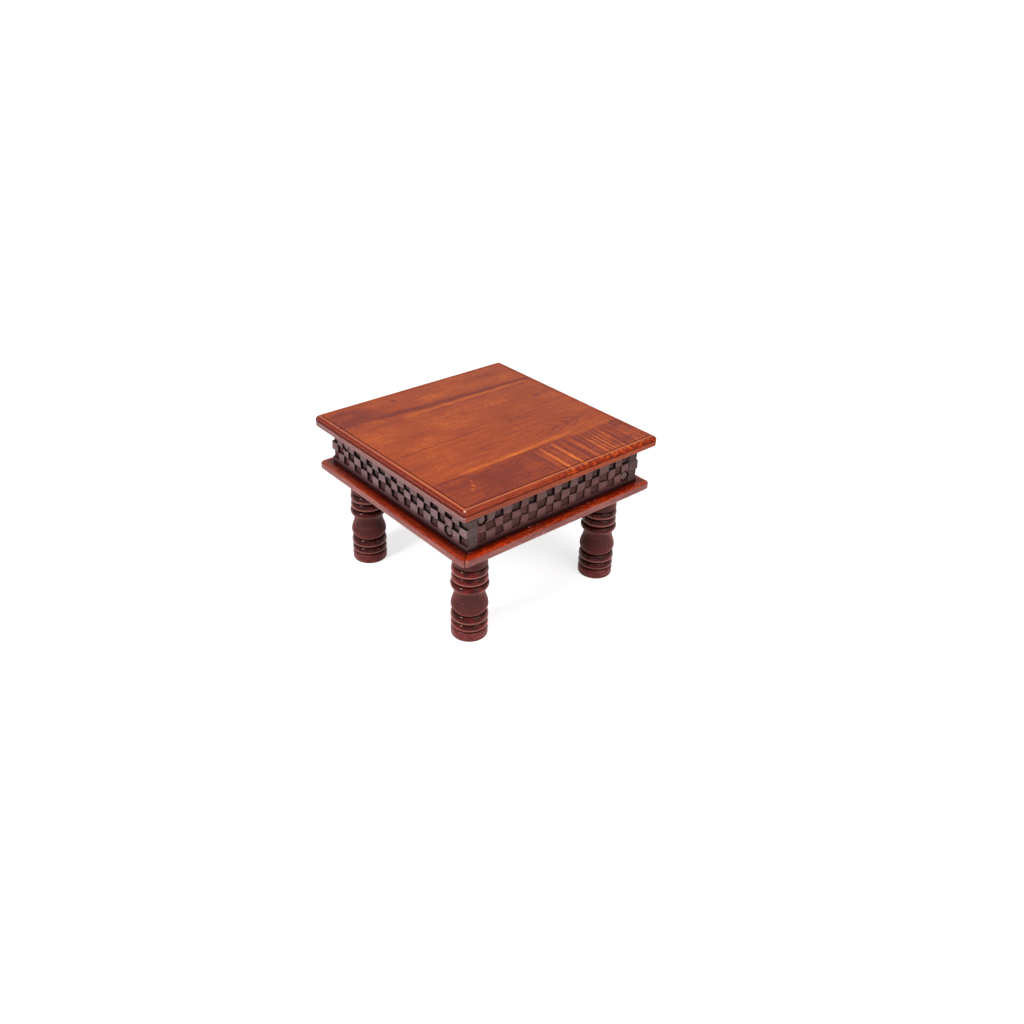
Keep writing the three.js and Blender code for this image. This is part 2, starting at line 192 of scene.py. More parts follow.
# Legs: shares of a member's height at which it is widest, and the edges of the foot and the neck
BEAD_WIDEST_SHARE = 0.3
BELLY_WIDEST_SHARE = 0.29
SHOULDER_WIDEST_SHARE = 0.46
FOOT_WIDEST = LEG_FOOT * 0.6
FOOT_EDGE = 1.8
FOOT_SLOPE = 0.2
NECK_EDGE = 1.2
NECK_TOP = LEG_HEIGHT * 0.9
SHOULDER_FOOT = (R_CREASE + 0.5, 0.15)
BOLT_TIP_DEPTH = 5
BOLT_TIP_GAP = 0.2

# Legs: lips painted pale as highlights, and painted shade in the grooves and on the upper slopes of the rings
LIP_SHARE = 0.27
LIP_REACH = 2.0
BELLY_LIP = 1.2
SHOULDER_LIP = 0.9
SHOULDER_LIP_REACH = 1.4
BEAD_SHADE = (0.45, 0.95)
SHOULDER_SHADE = (0.5, 0.95)
SHADE_STRENGTH = 0.7
GROOVE_SHADE_RADIUS = R_GROOVE + 2.2
GROOVE_SHADE_FADE = 1.3
GROOVE_LEAST_RADIUS = R_WAIST + 0.6
GROOVE_LEAST_POLISH = 0.4
LEG_SEGMENTS = 96
BELLY_STEPS = 22
THROAT_STEPS = 8
LEG_UNEVENNESS = 0.006
LEG_UNEVEN_LENGTH = 22
LEG_SEED_STEP = 300

# Holes, fasteners, plugs and blocks
BORE_CLEARANCE = 0.25
SCREW_RADIUS = 1.8
SCREW_HEAD_RADIUS = 3.6
SCREW_HEAD_HEIGHT = 2.4
SCREW_DOME = ((0, 0), (0.45, 0), (0.8, 0.175), (1, 0.49), (1, 1))
SCREW_TIP = 3
SCREW_SEGMENTS = 24
RECESS_ARM = SCREW_HEAD_RADIUS * 0.55
RECESS_HALF_WIDTH = SCREW_HEAD_RADIUS * 0.13
RECESS_TAPER = 0.7
RECESS_DEPTH = 1.1
BOLT_RADIUS = 4
PLUG_FIT = 0.15
PLUG_CLEARING = 2.1
PLUG_BORE = 6
PLUG_FOOT = 0.3
PLUG_EDGE = 1.1
PLUG_EDGE_FOOT = 1.3
PLUG_EDGE_TOP = 0.35
PLUG_CROWN = 0.08
PLUG_PARED = 0.25
PLUG_PARED_IN = 0.02
PLUG_PARED_LENGTH = 5
PLUG_SEED_STEP = 50
# The mark on the walls of a socket, which paints them near black as shade
SOCKET_WALL_STAND = 0.4
OVERRUN = 2
HOLE_SEGMENTS = 48
BLOCK_EDGE = 0.7
BLOCK_EDGE_ANGLE = 60
FLAT_ANGLE = 2
SAME_PLACE = 0.01

# Edges up to these angles shade soft, by material slot
SOFT_ANGLES = {
    "top_wood": 30,
    "carved_wood": 38,
    "base_wood": 30,
    "leg_wood": 42,
    "plug_wood": 40,
    "block_wood": 35,
    "steel": 35,
}


# Meshes

def new_object(name, data):
    """An object in the scene."""
    made = bpy.data.objects.new(name, data)
    bpy.context.scene.collection.objects.link(made)
    return made


@contextlib.contextmanager
def opened(mesh):
    """A mesh opened for work and written back at the end."""
    work = bmesh.new()
    work.from_mesh(mesh)
    yield work
    work.to_mesh(mesh)
    work.free()


def make_piece(name, points, faces, marks=None):
    """A mesh object from points in millimetres; marks are named numbers for each point."""
    mesh = bpy.data.meshes.new(name)
    mesh.from_pydata([Vector(point) * MM for point in points], [], faces)
    for mark, values in (marks or {}).items():
        attribute = mesh.attributes.new(mark, "FLOAT", "POINT")
        attribute.data.foreach_set("value", np.asarray(values, np.float32).ravel())
    with opened(mesh) as work:
        bmesh.ops.recalc_face_normals(work, faces=work.faces)
    return new_object(name, mesh)


def settle(piece):
    """Applies the piece's modifiers to its mesh."""
    solved = piece.evaluated_get(bpy.context.evaluated_depsgraph_get())
    mesh = bpy.data.meshes.new_from_object(solved)
    piece.modifiers.clear()
    piece.data = mesh


def cut(piece, cutter):
    """Takes the cutter's solid out of a piece."""
    boolean = piece.modifiers.new("cut", "BOOLEAN")
    boolean.operation = "DIFFERENCE"
    boolean.solver = "EXACT"
    boolean.object = cutter
    settle(piece)


def dress(piece, material, slot, *nodes):
    """Gives a piece its soft shading and material, and puts it in the place of its nodes."""
    piece.data.shade_smooth()
    piece.data.set_sharp_from_angle(angle=math.radians(SOFT_ANGLES[slot]))
    piece.data.materials.clear()
    piece.data.materials.append(material)
    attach(piece, "root")
    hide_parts(*nodes)


def turn_quarters(points, quarters):
    """Points of the front side, turned to another side."""
    turned = np.array(points, float)
    for _ in range(quarters):
        turned[:, [0, 1]] = np.stack([-turned[:, 1], turned[:, 0]], axis=1)
    return turned


def outward(side):
    """The way a side faces."""
    return turn_quarters([(0, -1, 0)], SIDES.index(side))[0]


def middle(low, high):
    return (low + high) / 2


def share_between(value, low, high):
    """Nought at low, one at high and straight between them."""
    return min(max((value - low) / (high - low), 0), 1)


def grain_noise(point, length):
    """Smooth noise from about -1 to 1 whose features are about a length across."""
    return noise.noise(Vector(point) / length)


def dent(along, across, height):
    """How deep an edge is dented at a point."""
    return EDGE_DENT * max(0, grain_noise((along, across, height * DENT_SQUASH), DENT_LENGTH))


def lathe(profile, segments):
    """Points and faces of a turned body; the profile of (radius, height) starts and ends on the axis."""
    points, rows = [], []
    for radius, height in profile:
        count = segments if radius > 0 else 1
        rows.append([len(points) + step for step in range(count)])
        for step in range(count):
            angle = 2 * math.pi * step / segments
            points.append((radius * math.cos(angle), radius * math.sin(angle), height))
    faces = []
    for low, high in zip(rows, rows[1:]):
        for step in range(segments):
            after = (step + 1) % segments
            ring = [(low, step), (low, after), (high, after), (high, step)]
            faces.append(list(dict.fromkeys(row[place % len(row)] for row, place in ring)))
    return points, faces


def loft(rings):
    """Points and faces of rings joined into one closed body, with a flat face over each end."""
    count = len(rings[0])
    points = [point for ring in rings for point in ring]
    faces = [list(range(count)), list(range(len(points) - count, len(points)))]
    for first in range(0, len(points) - count, count):
        for step in range(count):
            after = (step + 1) % count
            faces.append((first + step, first + after, first + count + after, first + count + step))
    return points, faces


def aim(direction):
    """The turn that takes +Z to a direction."""
    return Vector((0, 0, 1)).rotation_difference(Vector(direction)).to_matrix()


def aimed(points, place, direction):
    """Points made along +Z, turned to a direction and moved to a place."""
    return [aim(direction) @ Vector(point) + Vector(place) for point in points]


def arc(start, end, bulge, steps):
    """A quarter of an ellipse that leaves start along the axis named by bulge; start is left out."""
    (x0, y0), (x1, y1) = start, end
    points = []
    for step in range(1, steps + 1):
        angle = math.pi / 2 * step / steps
        fast, slow = math.sin(angle), 1 - math.cos(angle)
        share_x, share_y = (fast, slow) if bulge == "x" else (slow, fast)
        points.append((x0 + (x1 - x0) * share_x, y0 + (y1 - y0) * share_y))
    return points


# Holes

def bore_of(node):
    """Where a fastener's hole starts, its direction, and its steps of (radius, start, end)."""
    shank = SCREW_RADIUS + BORE_CLEARANCE
    low, high = span(node)
    place, way = middle(low, high), (0, 0, 1)
    if node.startswith("base_screw"):
        place[2] = low[2] + SCREW_HEAD_HEIGHT
        head = (SCREW_HEAD_RADIUS + BORE_CLEARANCE, -SCREW_HEAD_HEIGHT - OVERRUN, 0)
        return place, way, [head, (shank, 0, high[2] - place[2])]
    if node.startswith(("top_screw", "cleat_screw")):
        place[2] = TOP_LOW[2]
        return place, way, [(shank, -OVERRUN, high[2] - TOP_LOW[2])]
    if node.startswith("leg_bolt"):
        place[2] = BASE_LOW[2]
        return place, way, [(BOLT_RADIUS + BORE_CLEARANCE, -OVERRUN, BASE_THICKNESS + OVERRUN)]
    if not node.startswith("screw_plug"):
        return None
    way = outward(node.split("_")[2])
    seat = APRON_REACH - CARVING_DEPTH - PLUG_BORE
    plug = (high - low).max() / 2
    steps = [
        (shank, -APRON_THICKNESS, 0),
        (plug + PLUG_FIT, 0, PLUG_BORE),
        (plug + PLUG_CLEARING, PLUG_BORE, PLUG_BORE + CARVING_DEPTH + OVERRUN),
    ]
    return place - way * (place @ way - seat), way, steps


def stepped_bore(name, place, way, steps):
    """A cutter with the steps of one hole; its mark gives the walls of a socket painted shade, near black."""
    profile = [(0, steps[0][1])]
    for radius, start, end in steps:
        profile += [(radius, start), (radius, end)]
    profile.append((0, steps[-1][2]))
    points, faces = lathe(profile, HOLE_SEGMENTS)
    marks = {"stand": [SOCKET_WALL_STAND] * len(points)}
    return make_piece(name, aimed(points, place, way), faces, marks)


def make_bores():
    """Every hole that the rebuilt pieces share with the frame, joined into one cutter."""
    bores = {node: bore_of(node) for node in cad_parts}
    cutters = [stepped_bore("bore_" + node, *bore) for node, bore in bores.items() if bore]
    with bpy.context.temp_override(active_object=cutters[0], selected_editable_objects=cutters):
        bpy.ops.object.join()
    return cutters[0]


# Top boards

def moulding_outline():
    """(inset, height) of the moulding from the under face up to the flat."""
    outline = [(MOULD_UNDER + MOULD_SUPPORT, 0), (MOULD_UNDER, 0)]
    outline += arc(outline[-1], (MOULD_FASCIA, MOULD_UNDER), "x", 4)
    outline += [(MOULD_FASCIA, MOULD_FASCIA_TOP * share) for share in FASCIA_SHARES]
    outline += arc(outline[-1], (MOULD_CREASE_INSET, MOULD_CREASE), "y", 4)
    outline += arc(outline[-1], (0, MOULD_OVOLO_FOOT), "x", 3)
    outline += arc(outline[-1], (MOULD_OVOLO_INSET, TOP_THICKNESS), "y", 12)
    outline += arc(outline[-1], (MOULD_QUIRK, TOP_THICKNESS - MOULD_QUIRK_DEPTH), "x", 3)
    outline += arc(outline[-1], (MOULD_FLAT, TOP_THICKNESS), "y", 4)
    return [*outline, (MOULD_QUIRK + QUIRK_DARK_WIDTH, TOP_THICKNESS)]


def moulding_marks(inset, height):
    """How much a point of the moulding lies in a recess, on the worn and highlighted arris and under the
    ovolo's painted shade, as shares.
    """
    # painted shade in the crease and the quirk
    in_crease = 1 - abs(height - MOULD_CREASE) / CREASE_DARK_WIDTH
    quirk_width = QUIRK_DARK_OUTER if inset < MOULD_QUIRK else QUIRK_DARK_WIDTH
    in_quirk = 1 - abs(inset - MOULD_QUIRK) / quirk_width
    # the arris: rubbed finish and painted highlight
    from_arris = math.hypot(inset - MOULD_OVOLO_INSET, (height - TOP_THICKNESS) * ARRIS_WEAR_FLATNESS)
    on_arris = max(0, 1 - from_arris / ARRIS_WEAR_WIDTH) if inset <= MOULD_QUIRK else 0
    on_ovolo = height > MOULD_OVOLO_FOOT - OVOLO_SHADE_BELOW and inset < MOULD_OVOLO_INSET
    # painted shade on the ovolo, strongest low on it
    ovolo_shade = min(max((TOP_THICKNESS + OVOLO_SHADE_OVER - height) / OVOLO_SHADE_FADE, LEAST_OVOLO_SHADE), 1) if on_ovolo else 0
    return {"recess": max(0, in_crease, in_quirk), "wear": on_arris, "ovolo_shade": ovolo_shade}


def top_ring(inset, height):
    """One ring round the top, counter-clockwise from above: an arc at each corner and even steps between."""
    half = TOP_HALF - inset
    arcs = []
    for index, ((sign_x, sign_y), worn) in enumerate(zip(CORNER_SIGNS, WORN_CORNERS)):
        radius = max(worn - inset, LEAST_CORNER)
        x, y = sign_x * (half - radius), sign_y * (half - radius)
        turns = [math.pi + (index + step / CORNER_STEPS) * math.pi / 2 for step in range(CORNER_STEPS + 1)]
        arcs.append([(x + radius * math.cos(turn), y + radius * math.sin(turn)) for turn in turns])
    steps = round(2 * TOP_HALF / EDGE_STEP)
    ring = []
    for here, there in zip(arcs, arcs[1:] + arcs[:1]):
        (x0, y0), (x1, y1) = here[-1], there[0]
        ring += here
        ring += [(x0 + (x1 - x0) * step / steps, y0 + (y1 - y0) * step / steps) for step in range(1, steps)]
    dented = []
    for x, y in ring:
        shrink = 1 - dent(x, y, height) / TOP_HALF if inset < MOULD_OVOLO_INSET else 1
        dented.append((x * shrink, y * shrink, TOP_LOW[2] + height))
    return dented


def keep_between(piece, low, high):
    """Saws a piece off at two planes across Y and closes the sawn faces."""
    with opened(piece.data) as work:
        for plane, way in ((low, -1), (high, 1)):
            if plane is None:
                continue
            parts = work.verts[:] + work.edges[:] + work.faces[:]
            place = (0, plane * MM, 0)
            bmesh.ops.bisect_plane(work, geom=parts, plane_co=place, plane_no=(0, way, 0), clear_outer=True)
            bmesh.ops.edgeloop_fill(work, edges=[edge for edge in work.edges if edge.is_boundary])
        bmesh.ops.recalc_face_normals(work, faces=work.faces)


def make_top(material, bores):
    """Three boards glued edge to edge, the moulding worked round all of them."""
    outline = moulding_outline()
    points, faces = loft([top_ring(inset, height) for inset, height in outline])
    rows = [moulding_marks(inset, height) for inset, height in outline]
    count = len(points) // len(rows)
    marks = {mark: np.repeat([row[mark] for row in rows], count) for mark in rows[0]}
    gap = GLUE_LINE / 2
    spans = {
        "front": (None, FRONT_SEAM - gap),
        "middle": (FRONT_SEAM + gap, BACK_SEAM - gap),
        "back": (BACK_SEAM + gap, None),
    }
    for name, (low, high) in spans.items():
        board = make_piece("moulded_board_" + name, points, faces, marks)
        keep_between(board, low, high)
        cut(board, bores)
        dress(board, material, "top_wood", "top_board_" + name)


# Carved aprons

class Lines:
    """Grid lines across cells, close together at each cell's edge, with their shares in cells and edges."""

    def __init__(self, low, edges, high):
        self.edges = np.array([low, *edges, high])
        self.middles = middle(self.edges[1:], self.edges[:-1])
        reach = ARRIS_OFFSETS[-1]
        places = {low, high}
        for edge in self.edges:
            places |= {edge + offset for offset in ARRIS_OFFSETS if low < edge + offset < high}
        for left, right in zip(self.edges, self.edges[1:]):
            places |= set(np.linspace(left + reach, right - reach, CELL_STEPS + 1)[1:-1])
        self.places = np.array(sorted({round(float(place), 4) for place in places}))
        self.in_cells = self.weigh(np.add.outer(self.edges[1:-1], ARRIS_OFFSETS), ARRIS_SHARES)
        insides = np.stack([self.edges[:-1] + reach, self.edges[1:] - reach], axis=1)
        self.at_edges = self.weigh(insides, (0, 1))

    def weigh(self, changes, shares):
        """Each line's shares in neighbours, where one neighbour gives way to the next at some places."""
        each = np.eye(len(changes) + 1)
        neighbours = zip(each, each[1:])
        knots = [(1 - share) * here + share * there for here, there in neighbours for share in shares]
        columns = [np.interp(self.places, changes.ravel(), column) for column in np.transpose(knots)]
        return np.stack(columns, axis=1)


def carving_lines(run, draw):
    """The grid of one carved board, along its run and up its height; its columns differ a little in width."""
    columns = 2 * round((2 * run / BLOCK_WIDTH - 1) / 2) + 1
    pitch = 2 * run / columns
    places = [-run + pitch * column for column in range(1, columns)]
    across = Lines(-run, [place + draw.uniform(-COLUMN_WANDER, COLUMN_WANDER) for place in places], run)
    low = APRON_FOOT + BOTTOM_MARGIN
    upward = Lines(APRON_FOOT, [low + BLOCK_HEIGHT * row for row in range(ROWS + 1)], APRON_HIGH[2])
    return across, upward


def hand_cut(across, upward, row_depths, leaf, draw):
    """Moves the grid as a carver's hand does: corners wander, floors and faces tilt and differ in depth."""
    columns, levels = len(across.middles), len(upward.middles)
    row_from_top = ROWS - np.arange(levels)
    sunk = np.add.outer(row_from_top, np.arange(columns)) % 2 == 0
    sunk[0] = sunk[-1] = False

    def wander(amount, *shape):
        return draw.uniform(-amount, amount, shape)

    floors = np.array([0, *reversed(row_depths), 0])[:levels, None]
    low_faces = FACE_LOW * draw.random((levels, columns))
    depth = np.where(sunk, floors + wander(DEPTH_WANDER, levels, columns), low_faces)
    depth[0] = FACE_LOW
    depth[-1] = 0
    tilt = np.where(sunk, FLOOR_TILT, FACE_TILT)
    tilt_along = tilt * wander(1, levels, columns)
    tilt_up = tilt * wander(1, levels, columns)
    tone = draw.random((levels, columns))

    from_row = upward.places[:, None] - upward.middles[None, :]
    from_column = across.places[:, None] - across.middles[None, :]
    rows, cells = upward.in_cells, across.in_cells
    depths = rows @ depth @ cells.T
    depths += (rows * from_row) @ tilt_up @ cells.T
    depths += rows @ tilt_along @ (cells * from_column).T
    standing = rows @ (~sunk).astype(float) @ cells.T
    tones = rows @ tone @ cells.T

    corner_along = wander(CUT_WANDER, levels + 1, columns + 1)
    corner_up = wander(CUT_WANDER, levels + 1, columns + 1)
    if leaf:
        corner_along[ROWS + 1, leaf:leaf + 2] += LEAF_LEAN
        corner_along[ROWS, leaf:leaf + 2] -= LEAF_LEAN
    corner_along[:, [0, -1]] = 0
    corner_up[[0, -1]] = 0
    shift_along = upward.at_edges @ corner_along @ across.at_edges.T
    shift_up = upward.at_edges @ corner_up @ across.at_edges.T
    return depths, standing, tones, shift_along, shift_up


def carved_front(run, across, upward, depths, standing, shift_along, shift_up):
    """The points of a carved face, row by row, with chisel marks and worn ends."""
    along, height = np.meshgrid(across.places, upward.places)
    grids = (along, height, depths, standing, shift_along, shift_up)
    points = []
    for u, z, depth, stand, du, dz in zip(*(grid.ravel() for grid in grids)):
        roughness = CHISEL_MARK * (1 - (1 - CHISEL_MARK_ON_FACES) * stand)
        mark = roughness * grain_noise((u, z * CHISEL_SQUASH, run), CHISEL_LENGTH)
        wear = END_WEAR * math.exp(-(run - abs(u)) / END_WEAR_LENGTH)
        points.append((u + du, -APRON_REACH + max(depth + mark, 0) + wear, z + dz))
    return points


def carved_board(run, row_depths, leaf, draw):
    """Points, faces and marks of one apron board, with its carved face towards -Y."""
    across, upward = carving_lines(run, draw)
    depths, standing, tones, *shifts = hand_cut(across, upward, row_depths, leaf, draw)
    points = carved_front(run, across, upward, depths, standing, *shifts)
    index = np.arange(len(points)).reshape(depths.shape)
    corners = (index[:-1, :-1], index[:-1, 1:], index[1:, 1:], index[1:, :-1])
    faces = np.stack([corner.ravel() for corner in corners], axis=1).tolist()
    count = len(points)
    points += [(x, -APRON_BACK, z) for x, _, z in points]
    faces += [[corner + count for corner in reversed(face)] for face in faces]
    rim = np.concatenate([index[0, :-1], index[:-1, -1], index[-1, :0:-1], index[:0:-1, 0]]).tolist()
    faces += [(here, there, there + count, here + count) for here, there in zip(rim, rim[1:] + rim[:1])]
    marks = {"stand": [*standing.ravel(), *([1] * count)], "tone": [*tones.ravel(), *([0.5] * count)]}
    return points, faces, marks


def make_aprons(material, bores):
    for quarters, side in enumerate(SIDES):
        high = span("apron_" + side)[1]
        run = max(high[0], high[1]) if side in ("left", "right") else high[0]
        draw = np.random.default_rng(CARVING_SEED + quarters)
        points, faces, marks = carved_board(run, ROW_DEPTHS[side], LEAF_COLUMNS.get(side, 0), draw)
        board = make_piece("carved_apron_" + side, turn_quarters(points, quarters), faces, marks)
        cut(board, bores)
        dress(board, material, "carved_wood", "apron_" + side)


# Base frame

def strip_section():
    """(distance in from the nose, height) of a strip, from the inner top edge round the nose."""
    flat = (BASE_WIDTH, NOSE_RADIUS + MOULD_SUPPORT, NOSE_RADIUS)
    section = [(inset, BASE_THICKNESS) for inset in flat]
    section += arc(section[-1], (0, BASE_THICKNESS - NOSE_RADIUS), "x", NOSE_STEPS)
    section.append((0, BASE_THICKNESS / 2))
    section += [(inset, NOSE_UNDER + height) for inset, height in NOSE_LOWER_EDGE]
    section += [(NOSE_UNDER_INSET + inset, height) for inset, height in NOSE_FOOT_EDGE]
    return section + [(NOSE_UNDER_INSET + MOULD_SUPPORT, 0), (BASE_WIDTH, 0)]


def strip_half(inset, gape):
    """Half the length of a strip at a distance in from its nose, where the mitre ends it."""
    return BASE_REACH - inset - MITRE_GAP / 2 - gape * max(0, 1 - inset / MITRE_GAPE_DEPTH)


def strip_shares():
    """Where the rings of a strip lie as shares of its length, close together near its tips."""
    steps = round(2 * BASE_REACH / STRIP_STEP)
    shares = [distance / (2 * BASE_REACH) for distance in NEAR_TIP]
    even = [TIP_SHARE + (1 - 2 * TIP_SHARE) * step / steps for step in range(steps + 1)]
    return shares + even + [1 - share for share in reversed(shares)]


def strip_ring(share, gapes):
    """One ring of a strip, drawn in towards a tip as the tip's fillet asks."""
    way, gape = (-1, gapes[0]) if share < 0.5 else (1, gapes[1])
    from_middle = abs(2 * share - 1)
    ring = []
    for back, height in strip_section():
        from_tip = strip_half(back, gape) * (1 - from_middle)
        along = TIP_RADIUS * (TIP_START + (1 - TIP_START) * min(from_tip / TIP_RADIUS, 1))
        fillet = TIP_RADIUS - math.sqrt(max(TIP_RADIUS**2 - (TIP_RADIUS - along) ** 2, 0))
        inset = back + fillet * max(0, 1 - back / BASE_WIDTH)
        if back < BASE_WIDTH / 2:
            inset += dent(share * STRIP_DENT_RUN, back, height)
        x = way * strip_half(inset, gape) * from_middle
        ring.append((x, -BASE_REACH + inset, BASE_LOW[2] + height))
    return ring


def make_base(material, bores):
    """Four mitred strips; the mitre at the front left corner has opened a little."""
    for quarters, side in enumerate(SIDES):
        points, faces = loft([strip_ring(share, MITRE_GAPES[side]) for share in strip_shares()])
        strip = make_piece("nosed_strip_" + side, turn_quarters(points, quarters), faces)
        cut(strip, bores)
        dress(strip, material, "base_wood", "base_strip_" + side)


# Legs

def bead(foot, height, radius):
    """A ring that swells fast from its lower groove to a lip and falls back slowly to the upper groove."""
    start, widest = (R_GROOVE, foot), (radius, foot + height * BEAD_WIDEST_SHARE)
    return [start, *arc(start, widest, "x", 6), *arc(widest, (R_GROOVE, foot + height), "y", 12)]


def belly(foot):
    """The swelling between the two pairs of rings, up to the waist."""
    points = []
    for step in range(BELLY_STEPS):
        share = step / BELLY_STEPS
        above = max(share - BELLY_WIDEST_SHARE, 0) / (1 - BELLY_WIDEST_SHARE)
        below = max(BELLY_WIDEST_SHARE - share, 0) / BELLY_WIDEST_SHARE
        upper = (R_BELLY - R_WAIST) * (1 - math.cos(math.pi * above)) / 2
        lower = (R_BELLY - R_GROOVE) * below * below
        points.append((R_BELLY - upper - lower, foot + share * LEG_BELLY))
    return points


def throat(foot):
    """The hollow that widens from the waist to the crease under the shoulder."""
    shares = [step / THROAT_STEPS for step in range(THROAT_STEPS + 1)]
    return [(R_WAIST + (R_CREASE - R_WAIST) * share**2, foot + LEG_THROAT * share) for share in shares]


def shoulder(foot):
    """The wide ring over the throat."""
    start = (SHOULDER_FOOT[0], foot + SHOULDER_FOOT[1])
    widest = (R_SHOULDER, foot + LEG_SHOULDER * SHOULDER_WIDEST_SHARE)
    return [start, *arc(start, widest, "x", 8), *arc(widest, (R_GROOVE, foot + LEG_SHOULDER), "y", 10)]


class Turning:
    """A turned profile of (radius, height) made from the foot up, with marks for each of its points."""

    def __init__(self):
        self.height = 0
        self.outline = [(0, 0)]
        self.marks = {"polish": [0], "lip": [0], "groove": [0]}

    def add(self, points, polish, lip=0, reach=0, shade=None):
        """Adds points with their polish, a lip painted pale as a highlight at a height, and painted shade
        that grows between two heights.
        """
        for radius, height in points:
            in_groove = share_between(GROOVE_SHADE_RADIUS - radius, 0, GROOVE_SHADE_FADE)
            shaded = share_between(height, *shade) * SHADE_STRENGTH if shade else 0
            darkens = polish > GROOVE_LEAST_POLISH and radius > GROOVE_LEAST_RADIUS
            self.outline.append((radius, height))
            self.marks["polish"].append(polish)
            self.marks["lip"].append(max(0, 1 - abs(height - lip) / reach) if reach else 0)
            self.marks["groove"].append(max(in_groove, shaded) if darkens else 0)

    def shade(self, tall, shares):
        """The heights between which painted shade grows on a member of some height."""
        return [self.height + tall * share for share in shares]

    def add_bead(self, tall, radius):
        """A polished ring and the groove over it."""
        points = bead(self.height, tall, radius)
        self.add(points, 1, self.height + tall * LIP_SHARE, LIP_REACH, self.shade(tall, BEAD_SHADE))
        self.height += tall + LEG_GROOVE


def turned_leg():
    """The profile of a leg from its foot to its bolt hole."""
    leg = Turning()
    edge, side, widest = (R_FOOT - FOOT_EDGE, 0), (R_FOOT - FOOT_SLOPE, FOOT_EDGE), (R_FOOT, FOOT_WIDEST)
    leg.add([(edge[0] - 1, 0), edge], 0.2)
    leg.add(arc(edge, side, "x", 5) + arc(side, widest, "y", 4), 0.3)
    leg.add(arc(widest, (R_GROOVE, LEG_FOOT), "y", 8), 0.5)
    leg.height = LEG_FOOT + LEG_GROOVE
    leg.add_bead(LEG_LOW_BEAD, R_LOW_BEAD)
    leg.add_bead(LEG_KNEE_BEAD, R_KNEE_BEAD)
    leg.add(belly(leg.height), 0, leg.height + BELLY_LIP, LIP_REACH)
    leg.height += LEG_BELLY
    leg.add(throat(leg.height), 0)
    leg.height += LEG_THROAT
    shade = leg.shade(LEG_SHOULDER, SHOULDER_SHADE)
    leg.add(shoulder(leg.height), 0.9, leg.height + SHOULDER_LIP, SHOULDER_LIP_REACH, shade)
    leg.height += LEG_SHOULDER + LEG_GROOVE
    leg.add_bead(LEG_MID_BEAD, R_MID_BEAD)
    leg.add_bead(LEG_HIGH_BEAD, R_HIGH_BEAD)
    neck_heights = (leg.height + NECK_EDGE, NECK_TOP, LEG_HEIGHT)
    leg.add([(R_GROOVE, leg.height)] + [(R_NECK, height) for height in neck_heights], 0)
    hole = BOLT_RADIUS + BORE_CLEARANCE
    end = span("leg_bolt_front_left")[0][2] - BOLT_TIP_GAP
    leg.add([(R_NECK - 1, LEG_HEIGHT), (hole, LEG_HEIGHT), (hole, end + BOLT_TIP_DEPTH), (0, end)], 0)
    return leg


def make_legs(material):
    turned = turned_leg()
    counts = [LEG_SEGMENTS if radius > 0 else 1 for radius, _ in turned.outline]
    marks = {name: np.repeat(values, counts) for name, values in turned.marks.items()}
    points, faces = lathe(turned.outline, LEG_SEGMENTS)
    for index, corner in enumerate(CORNERS):
        centre = middle(*span("leg_" + corner))
        placed = []
        for x, y, z in points:
            hollow = max(0, grain_noise((x, y, z + LEG_SEED_STEP * index), LEG_UNEVEN_LENGTH))
            shrink = 1 - LEG_UNEVENNESS * hollow
            placed.append((centre[0] + x * shrink, centre[1] + y * shrink, z))
        leg = make_piece("turned_leg_" + corner, placed, faces, marks)
        dress(leg, material, "leg_wood", "leg_" + corner)


# Fasteners, plugs and blocks

def cross_recess():
    """A cutter for the cross in a screw's head."""
    arm, width = RECESS_ARM, RECESS_HALF_WIDTH
    corner = [(arm, width, 0), (width, width, 0), (width, arm, 0)]
    ring = [(x, y) for quarter in range(4) for x, y, _ in turn_quarters(corner, quarter)]
    floor = [(x * RECESS_TAPER, y * RECESS_TAPER, RECESS_DEPTH) for x, y in ring]
    return make_piece("cross_recess", *loft([[(x, y, -1) for x, y in ring], floor]))


def screw_profile(length):
    """(radius, height) of a round-headed screw, head down."""
    head = [(SCREW_HEAD_RADIUS * out, SCREW_HEAD_HEIGHT * up) for out, up in SCREW_DOME]
    return head + [(SCREW_RADIUS, SCREW_HEAD_HEIGHT), (SCREW_RADIUS, length - SCREW_TIP), (0, length)]


def make_screws(material):
    """Round-headed screws with a cross recess, in the place of the frame's screws."""
    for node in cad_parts:
        if "_screw_" not in node:
            continue
        low, high = span(node)
        length = (high - low).max()
        way = -outward(node.split("_")[2]) if node.startswith("apron") else np.array((0, 0, 1))
        place = middle(low, high) - way * (length / 2)
        screw = make_piece("steel_" + node, *lathe(screw_profile(length), SCREW_SEGMENTS))
        cross = cross_recess()
        cut(screw, cross)
        bpy.data.objects.remove(cross)
        screw.data.transform(Matrix.Translation(Vector(place) * MM) @ aim(way).to_4x4())
        dress(screw, material, "steel", node)


